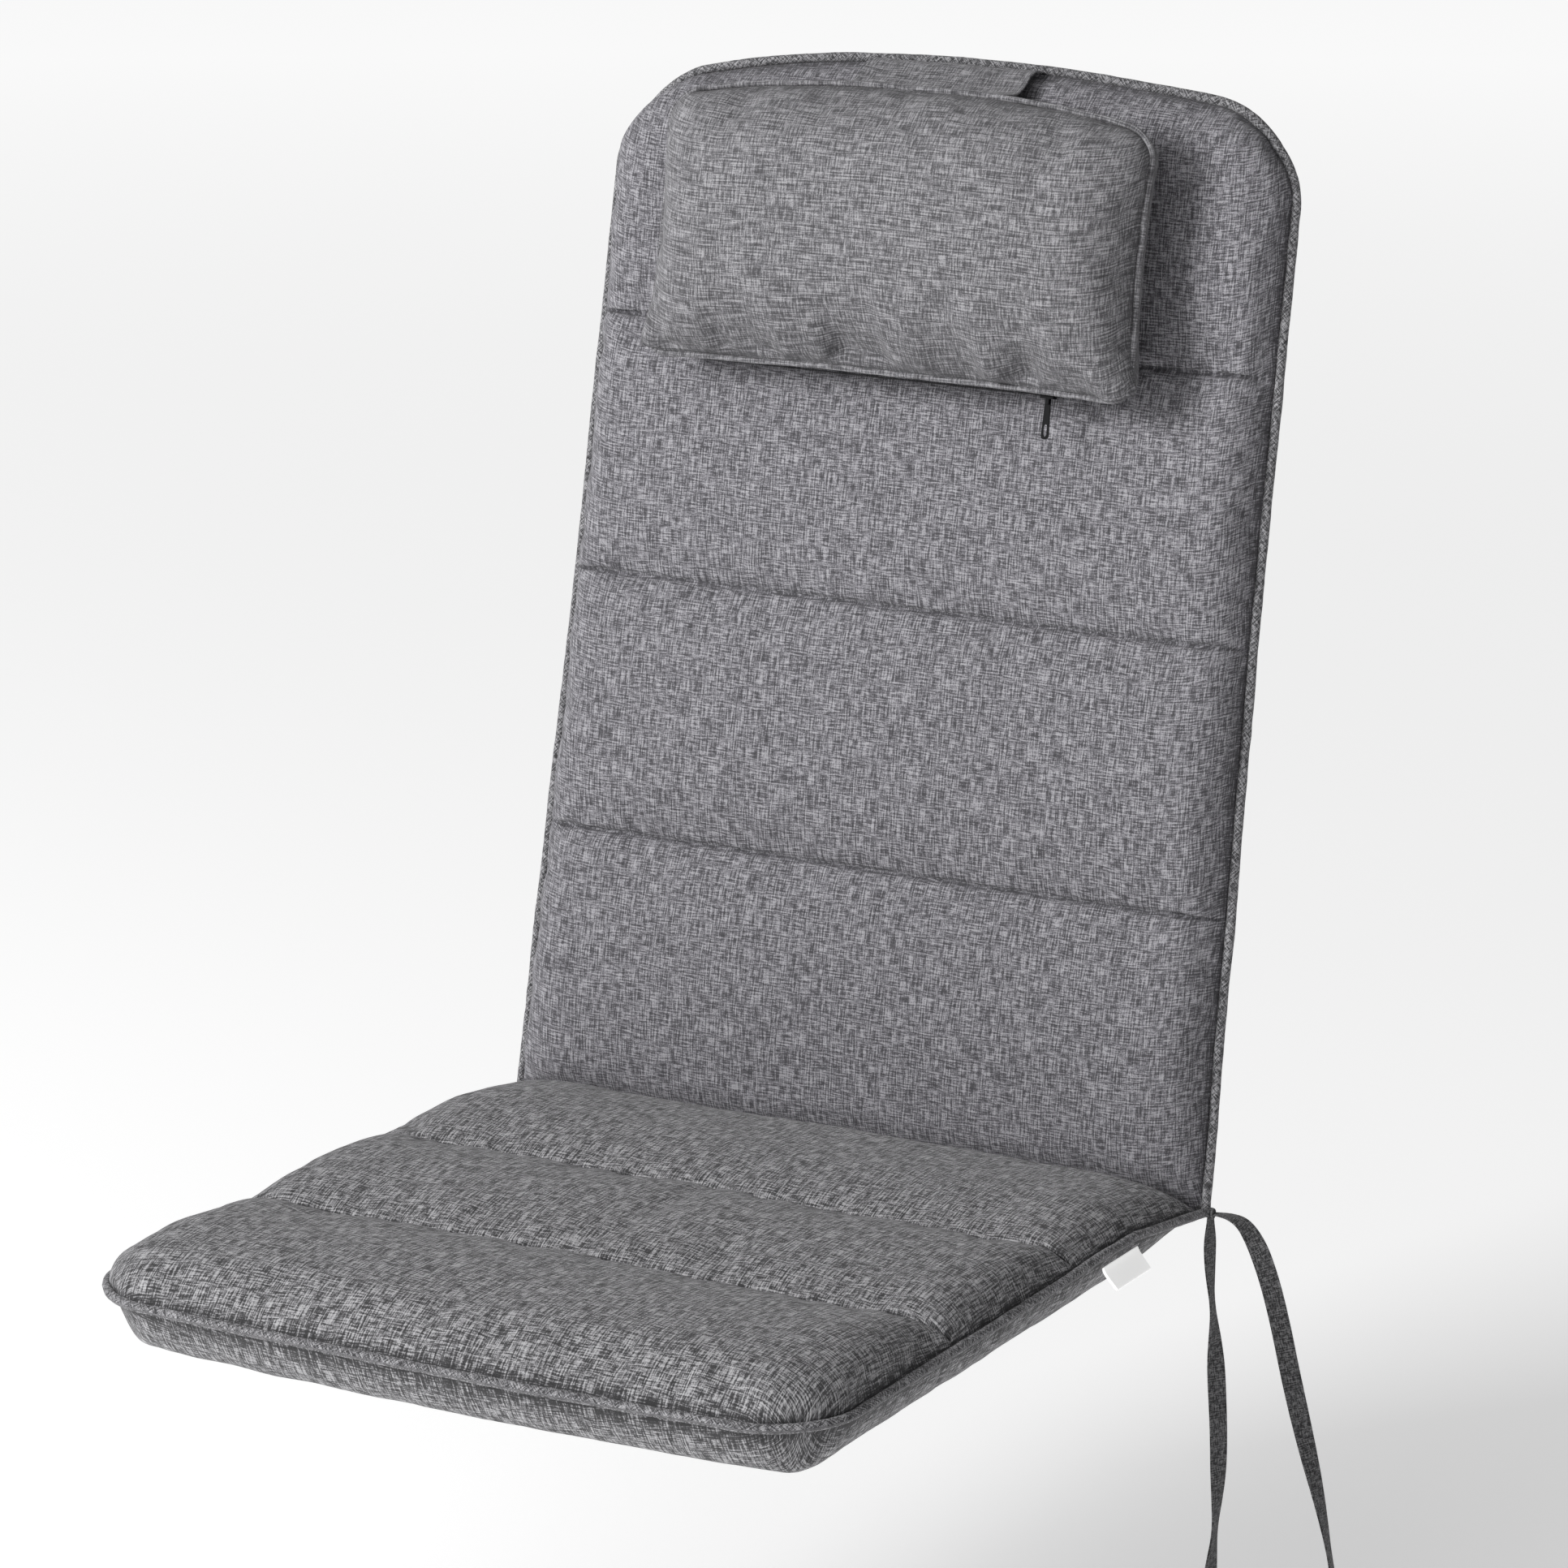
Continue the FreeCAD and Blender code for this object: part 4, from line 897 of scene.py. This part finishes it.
def bezier_like(points, count):
    """Evenly spaced points on a smooth line through a few given ones."""
    points = np.array(points, float)
    run = np.concatenate([[0], np.cumsum(np.linalg.norm(np.diff(points, axis=0), axis=1))])
    slope = np.gradient(points, run, axis=0)
    places = np.linspace(0, run[-1], count)
    index = np.clip(np.searchsorted(run, places) - 1, 0, len(run) - 2)
    width = (run[index + 1] - run[index])[:, None]
    t = ((places - run[index]) / width[:, 0])[:, None]
    start, end = points[index], points[index + 1]
    h = (2 * t**3 - 3 * t**2 + 1, t**3 - 2 * t**2 + t, -2 * t**3 + 3 * t**2, t**3 - t**2)
    return h[0] * start + h[1] * width * slope[index] + h[2] * end + h[3] * width * slope[index + 1]


def open_grid(name, points, thickness):
    """A sheet from a grid of points, with its thickness."""
    rows, columns = points.shape[:2]
    index = np.arange(rows * columns).reshape(rows, columns)
    obj = new_mesh(name, points.reshape(-1, 3), grid_quads(index).tolist())
    set_weave(obj, *grid_arc(points))
    solid = obj.modifiers.new("thickness", "SOLIDIFY")
    solid.thickness = thickness
    solid.offset = 0
    apply_modifiers(obj)
    subdivide(obj)
    return obj


def make_flap():
    """The flap from the back pad's top seam to the pillow, with hemmed sides."""
    path = bezier_like(FLAP_PATH, 20)
    hem = np.array((0.93, 0.95, 0.985, 1))
    share = np.concatenate([-hem[::-1], np.linspace(-0.86, 0.86, 30), hem])[:, None]
    sag = np.sin(np.linspace(0, math.pi, len(path)))
    grid = np.zeros((len(share), len(path), 3))
    grid[:, :, 0] = share * FLAP_WIDTH / 2
    grid[:, :, 1] = path[:, 0] + 0.0006 * ripple(share * 4 + path[:, 1] * 30, 0.8, 401)
    grid[:, :, 1] -= 0.0012 * sag * (1 - share**2)
    grid[:, :, 1] -= 0.0005 * np.exp(-(((np.abs(share) - 0.94) / 0.012) ** 2))
    grid[:, :, 2] = path[:, 1]
    obj = open_grid("pillow_flap_sheet", grid, FLAP_THICKNESS)
    obj.matrix_world = BACK_PLACE
    paint(obj, PILLOW)
    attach(obj, "flap")
    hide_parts("pillow_flap")


def make_flap_stitches():
    """The straight run of stitches that holds the flap to the back pad."""
    points, faces = [], []
    half = FLAP_WIDTH / 2 - 0.002
    middle = np.array(FLAP_STITCHES)
    for start in np.arange(-half, half, STITCH + STITCH_GAP):
        ends = [middle + (start + STITCH * part, 0, 0) for part in (0, 0.5, 1)]
        add_stitch(points, faces, ends, 0.0004)
    obj = new_mesh("flap_stitch_run", points, faces)
    obj.matrix_world = BACK_PLACE
    paint(obj, THREAD)
    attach(obj, "back")
    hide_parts("flap_stitches")


def sweep(path, outline, width_ways):
    """Points of an outline (across, through) carried along a path. width_ways points across it."""
    path = np.asarray(path, float)
    ahead = np.gradient(path, axis=0)
    ahead /= np.linalg.norm(ahead, axis=1, keepdims=True)
    wide = width_ways - ahead * np.sum(width_ways * ahead, axis=1, keepdims=True)
    wide /= np.linalg.norm(wide, axis=1, keepdims=True)
    through = np.cross(ahead, wide)
    outline = np.asarray(outline, float)
    return (
        path[:, None, :]
        + wide[:, None, :] * outline[None, :, 0, None]
        + through[:, None, :] * outline[None, :, 1, None]
    )


def skin(name, rings):
    """A closed skin over rings of points."""
    count, sides = rings.shape[:2]
    faces = []
    for ring in range(count - 1):
        for k in range(sides):
            beside = (k + 1) % sides
            low, high = ring * sides, (ring + 1) * sides
            faces.append((low + k, low + beside, high + beside, high + k))
    faces.append(tuple(range(sides))[::-1])
    faces.append(tuple(range((count - 1) * sides, count * sides)))
    return new_mesh(name, rings.reshape(-1, 3), faces)


COIL_PITCH = 0.0013
COIL_RADIUS = 0.00045
COIL_WIRE = 0.00022


def make_zip():
    """The zip's rows of coil; its tapes, stops, slider and puller keep their CAD shapes."""
    for name in ("zip_tape_front", "zip_tape_rear"):
        paint(frame["nodes"][name], TAPE)
    for name in ("zip_stop_left", "zip_stop_right", "zip_slider", "zip_puller"):
        paint(frame["nodes"][name], ENAMEL)
    angles = [k * math.pi / 3 for k in range(6)]
    circle = [(math.cos(angle) * COIL_WIRE, math.sin(angle) * COIL_WIRE) for angle in angles]
    for name, sign in (("front", 1), ("rear", -1)):
        low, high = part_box("zip_coil_" + name)
        middle = (low + high) / 2
        turns = np.arange(0, high.x - low.x, 0.0002)
        angle = turns / COIL_PITCH * 2 * math.pi * sign
        path = np.zeros((len(turns), 3))
        path[:, 0] = low.x + turns
        path[:, 1] = middle.y + COIL_RADIUS * np.cos(angle)
        path[:, 2] = middle.z + COIL_RADIUS * np.sin(angle)
        rings = sweep(path, circle, np.tile((1.0, 0.0, 0.0), (len(path), 1)))
        coil = skin("zip_teeth_" + name, rings)
        paint(coil, COIL)
        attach(coil, "pillow")
        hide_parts("zip_coil_" + name)


# --- Fold seam, label, tack and ties ---

TACK_START, TACK_LENGTH = 0.2474, 0.009
TACK_HIDDEN = 0.003  # how far it goes in between the pads
TACK_HEIGHT, TACK_DEPTH = 0.0044, 0.0040
TIE_WIDTH, TIE_LENGTH, TIE_THICKNESS = 0.0125, 0.30, 0.0013
TIE_STEP = 0.003
TIE_HELD = 0.0035  # how much of a ribbon is inside the tack
TIE_PINCH = 0.022  # over how much it widens from half its width
TIE_END = Vector((TACK_START + TACK_LENGTH, FOLD.y, FOLD.z))
TIE_ROUTES = {
    "tie_inner": (
        (-2.9, 0.0, -3.4), (-3.4, 0.5, -19.0), (-2.4, 0.0, -42.0), (1.1, -1.0, -70.0),
        (4.1, -2.0, -106.0), (6.6, -2.0, -147.0), (6.1, -1.5, -190.0), (2.6, -2.0, -231.0),
        (0.1, -3.0, -269.0), (0.6, -3.0, -301.0),
    ),
    "tie_outer": (
        (0.5, 0.0, 0.0), (14.6, 1.0, 1.0), (26.6, 2.0, -12.5), (36.2, 3.0, -36.0),
        (44.4, 4.0, -66.0), (51.6, 5.0, -99.0), (62.1, 5.0, -138.0), (74.6, 4.0, -180.0),
        (84.1, 3.0, -223.0), (91.6, 2.0, -264.0),
    ),
}
# Which way a tie's width points, by distance along it: this is what makes it twist.
TIE_TURNS = {
    "tie_inner": (
        (0.0, (0.25, 0.97)), (0.030, (0.1, 0.99)), (0.056, (-0.33, 0.94)), (0.100, (0.65, 0.76)),
        (0.160, (0.5, 0.86)), (0.205, (-0.25, 0.97)), (0.240, (0.35, 0.94)), (0.300, (0.8, 0.6)),
    ),
    "tie_outer": (
        (0.0, (0.0, 1.0)), (0.014, (0.2, 0.98)), (0.030, (0.6, 0.8)), (0.045, (0.85, 0.53)),
        (0.130, (0.85, 0.53)), (0.170, (0.55, 0.84)), (0.205, (0.05, 1.0)), (0.235, (-0.3, 0.95)),
        (0.300, (-0.1, 0.99)),
    ),
}


def smooth_route(points):
    """The points of a smooth NURBS line that follows a route."""
    curve = bpy.data.curves.new("route", "CURVE")
    curve.dimensions = "3D"
    curve.resolution_u = 16
    spline = curve.splines.new("NURBS")
    spline.points.add(len(points) - 1)
    for place, point in zip(spline.points, points):
        place.co = (*point, 1)
    spline.order_u = 3
    spline.use_endpoint_u = True
    obj = bpy.data.objects.new("route", curve)
    bpy.context.scene.collection.objects.link(obj)
    bpy.context.view_layer.update()
    mesh = bpy.data.meshes.new_from_object(obj)
    path = [tuple(vertex.co) for vertex in mesh.vertices]
    bpy.data.objects.remove(obj)
    bpy.data.meshes.remove(mesh)
    return path


def ribbon_outline(width, thick):
    """Section of a folded tape: flat, with a fuller stitched edge on each side."""
    half = width / 2
    side = ((1.0, 0.0), (0.985, 0.32), (0.93, 0.5), (0.84, 0.5), (0.78, 0.36), (0.3, 0.42))
    upper = [(half * x, thick * z) for x, z in side] + [(-half * x, thick * z) for x, z in side[::-1]]
    lower = [(x, -z) for x, z in upper[::-1]][1:-1]
    return upper + lower


def make_ties():
    """Two flat ties that hang from the tack."""
    for name, route in TIE_ROUTES.items():
        path = smooth_route([TIE_END + Vector(point) * MM for point in route])
        points, run = resample(path, TIE_STEP)
        places = np.array([place for place, _ in TIE_TURNS[name]])
        ways = np.array([(*way, 0.0) for _, way in TIE_TURNS[name]])
        wide = np.stack([np.interp(run, places, ways[:, k]) for k in range(3)], axis=-1)
        kernel = np.ones(7) / 7
        padded = np.pad(wide, ((3, 3), (0, 0)), mode="edge")
        wide = np.stack([np.convolve(padded[:, k], kernel, mode="valid") for k in range(3)], axis=-1)
        # The ribbon starts inside the tack, where it is pinched to half its width.
        first = points[0] - (points[1] - points[0]) / TIE_STEP * TIE_HELD
        points = np.concatenate([[first], points])
        wide = np.concatenate([wide[:1], wide])
        run = np.concatenate([[-TIE_HELD], run])
        outline = ribbon_outline(TIE_WIDTH, TIE_THICKNESS)
        pinch = 0.5 + 0.5 * smooth_step((run + TIE_HELD) / TIE_PINCH)
        rings = sweep(points, outline, wide)
        rings = points[:, None, :] + (rings - points[:, None, :]) * pinch[:, None, None]
        obj = skin(name + "_ribbon", rings)
        across = np.tile(np.array(outline)[:, 0], len(points))
        set_weave(obj, across, np.repeat(run, len(outline)))
        subdivide(obj)
        paint(obj, TIE)
        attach(obj, "seat")
        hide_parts(name)
        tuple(path[0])


def make_tack():
    """The pinched and pleated cloth that holds the ties."""
    rings = []
    for share in np.linspace(0, 1, 9):
        height = TACK_HEIGHT * (1 - 0.25 * share) * (1 + 0.12 * math.sin(9 * share))
        depth = TACK_DEPTH * (1 - 0.25 * share)
        x = TACK_START - TACK_HIDDEN + (TACK_LENGTH + TACK_HIDDEN) * share
        ring = []
        for k in range(12):
            turn = k * math.pi / 6
            pleat = 1 + 0.16 * math.cos(3 * turn + 5 * share)
            y = FOLD.y + math.cos(turn) * depth * pleat
            z = FOLD.z + math.sin(turn) * height * pleat
            ring.append((x, y, z))
        rings.append(ring)
    rings = np.array(rings)
    obj = skin("tie_tack_cloth", rings)
    set_vectors(obj, "weave", rings.reshape(-1, 3))
    subdivide(obj)
    paint(obj, TIE)
    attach(obj, "seat")
    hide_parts("tie_tack")


FOLD_SEAM_HALF = 0.2465
FOLD_SEAM_RADIUS = 0.0022


def make_fold_seam():
    """The rolled seam along the fold."""
    xs = np.arange(-FOLD_SEAM_HALF, FOLD_SEAM_HALF + 0.0001, TUBE_STEP)
    path = np.stack([xs, np.full_like(xs, FOLD.y), np.full_like(xs, FOLD.z)], axis=-1)
    obj = tube("fold_seam_roll", path, FOLD_SEAM_RADIUS, 501, sides=12)
    paint(obj, COVER)
    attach(obj, "seat")
    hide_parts("fold_seam")


LABEL_LENGTH, LABEL_DEPTH = 0.0465, 0.0123
LABEL_HIDDEN = 0.004  # on each side of the fold, inside the seam
LABEL_TILT = math.radians(49)
LABEL_ROOT = (0.2520, FOLD.y - 0.120, 0.0250)
LABEL_THICKNESS = 0.00035


def make_label():
    """A blank tag, folded once, that hangs out of the seat's right-hand seam."""
    length, depth, hidden, tilt = LABEL_LENGTH, LABEL_DEPTH, LABEL_HIDDEN, LABEL_TILT
    root = np.array(LABEL_ROOT)
    loop = 0.0011
    profile = [(-hidden, 0.0022), (-hidden / 2, 0.0014), (0.0, 0.0010), (0.004, 0.0009)]
    profile.append((0.008, 0.0010))
    for k in range(7):
        turn = math.pi / 2 - k * math.pi / 6
        profile.append((depth - loop + loop * math.cos(turn), loop * math.sin(turn)))
    profile += [(x, z - 0.0018) for x, z in profile[4::-1]]
    ys = np.linspace(-length / 2, length / 2, 24)
    grid = np.zeros((len(ys), len(profile), 3))
    for i, y in enumerate(ys):
        curl = 0.0010 * math.sin(math.pi * (y / length + 0.5)) - 0.0007 * (y / length)
        for j, (x, z) in enumerate(profile):
            bend = z + curl * (x / depth) ** 2
            outward = x * math.cos(tilt) + bend * math.sin(tilt)
            upward = -x * math.sin(tilt) + bend * math.cos(tilt)
            grid[i, j] = root + (outward, y, upward)
    obj = open_grid("seat_label_tag", grid, LABEL_THICKNESS)
    paint(obj, LABEL)
    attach(obj, "seat")
    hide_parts("seat_label")


# --- Camera, light and floor ---


CAMERA_PLACE = (1.902, -3.210, 1.309)
CAMERA_DOWN = math.radians(14.8)
CAMERA_TURN = math.radians(29.4)
CAMERA_LENS = 149.07
WORLD_LEVEL = 0.22
FLOOR_HEIGHT, FLOOR_HALF = -0.3, 40
# The floor's own glow: near the object, how much more for each metre away, and at most.
FLOOR_GLOW, FLOOR_GLOW_RISE, FLOOR_GLOW_MOST = 0.36, 0.05, 0.72


def area_light(name, location, target, size, power):
    """A soft square light, turned towards a point."""
    light = bpy.data.lights.new(name, "AREA")
    light.size = size
    light.energy = power
    obj = bpy.data.objects.new(name, light)
    bpy.context.scene.collection.objects.link(obj)
    obj.location = location
    direction = Vector(target) - obj.location
    obj.rotation_euler = direction.to_track_quat("-Z", "Y").to_euler()


def make_studio():
    """Camera, lights, world and floor."""
    scene = bpy.context.scene
    scene.view_settings.view_transform = "Standard"
    camera = bpy.data.cameras.new("camera")
    camera.sensor_width = 36
    camera.lens = CAMERA_LENS
    camera.clip_end = 200
    obj = bpy.data.objects.new("camera", camera)
    scene.collection.objects.link(obj)
    obj.location = CAMERA_PLACE
    obj.rotation_euler = (math.pi / 2 - CAMERA_DOWN, 0, CAMERA_TURN)
    scene.camera = obj
    world = bpy.data.worlds.new("studio")
    world.use_nodes = True
    background = world.node_tree.nodes["Background"]
    background.inputs["Color"].default_value = (1, 1, 1, 1)
    background.inputs["Strength"].default_value = WORLD_LEVEL
    scene.world = world
    area_light("key", (-2.3, -3.6, 2.4), (0, 0, 0.3), 1.8, 230)
    area_light("top", (-0.2, -0.8, 3.2), (0, 0.1, 0.2), 2.4, 12)
    signs = ((-1, -1), (1, -1), (1, 1), (-1, 1))
    corners = [(x * FLOOR_HALF, y * FLOOR_HALF, FLOOR_HEIGHT) for x, y in signs]
    floor = new_mesh("floor", corners, [(0, 1, 2, 3)])
    n = Nodes("floor")
    place = n.add("ShaderNodeTexCoord").outputs["Object"]
    tone = n.noise(place, (0.6, 0.6, 0.6), 2.0)
    colour = n.ramp(tone, ((0.3, (0.84, 0.84, 0.84)), (0.7, (0.86, 0.86, 0.86))))
    n.link(colour, n.shader.inputs["Base Color"])
    n.fix("Roughness", 1.0)
    n.fix("Specular IOR Level", 0.0)
    n.fix("Emission Color", (1, 1, 1, 1))
    away = n.add("ShaderNodeVectorMath", operation="LENGTH")
    n.link(place, away.inputs[0])
    glow = n.math("ADD", n.math("MULTIPLY", away.outputs["Value"], FLOOR_GLOW_RISE), FLOOR_GLOW)
    n.link(n.math("MINIMUM", glow, FLOOR_GLOW_MOST), n.shader.inputs["Emission Strength"])
    floor.data.materials.append(n.material)


make_studio()
make_ties()
make_pads()
make_fold_seam()
make_tack()
make_label()
make_pillow()
make_flap()
make_flap_stitches()
make_zip()
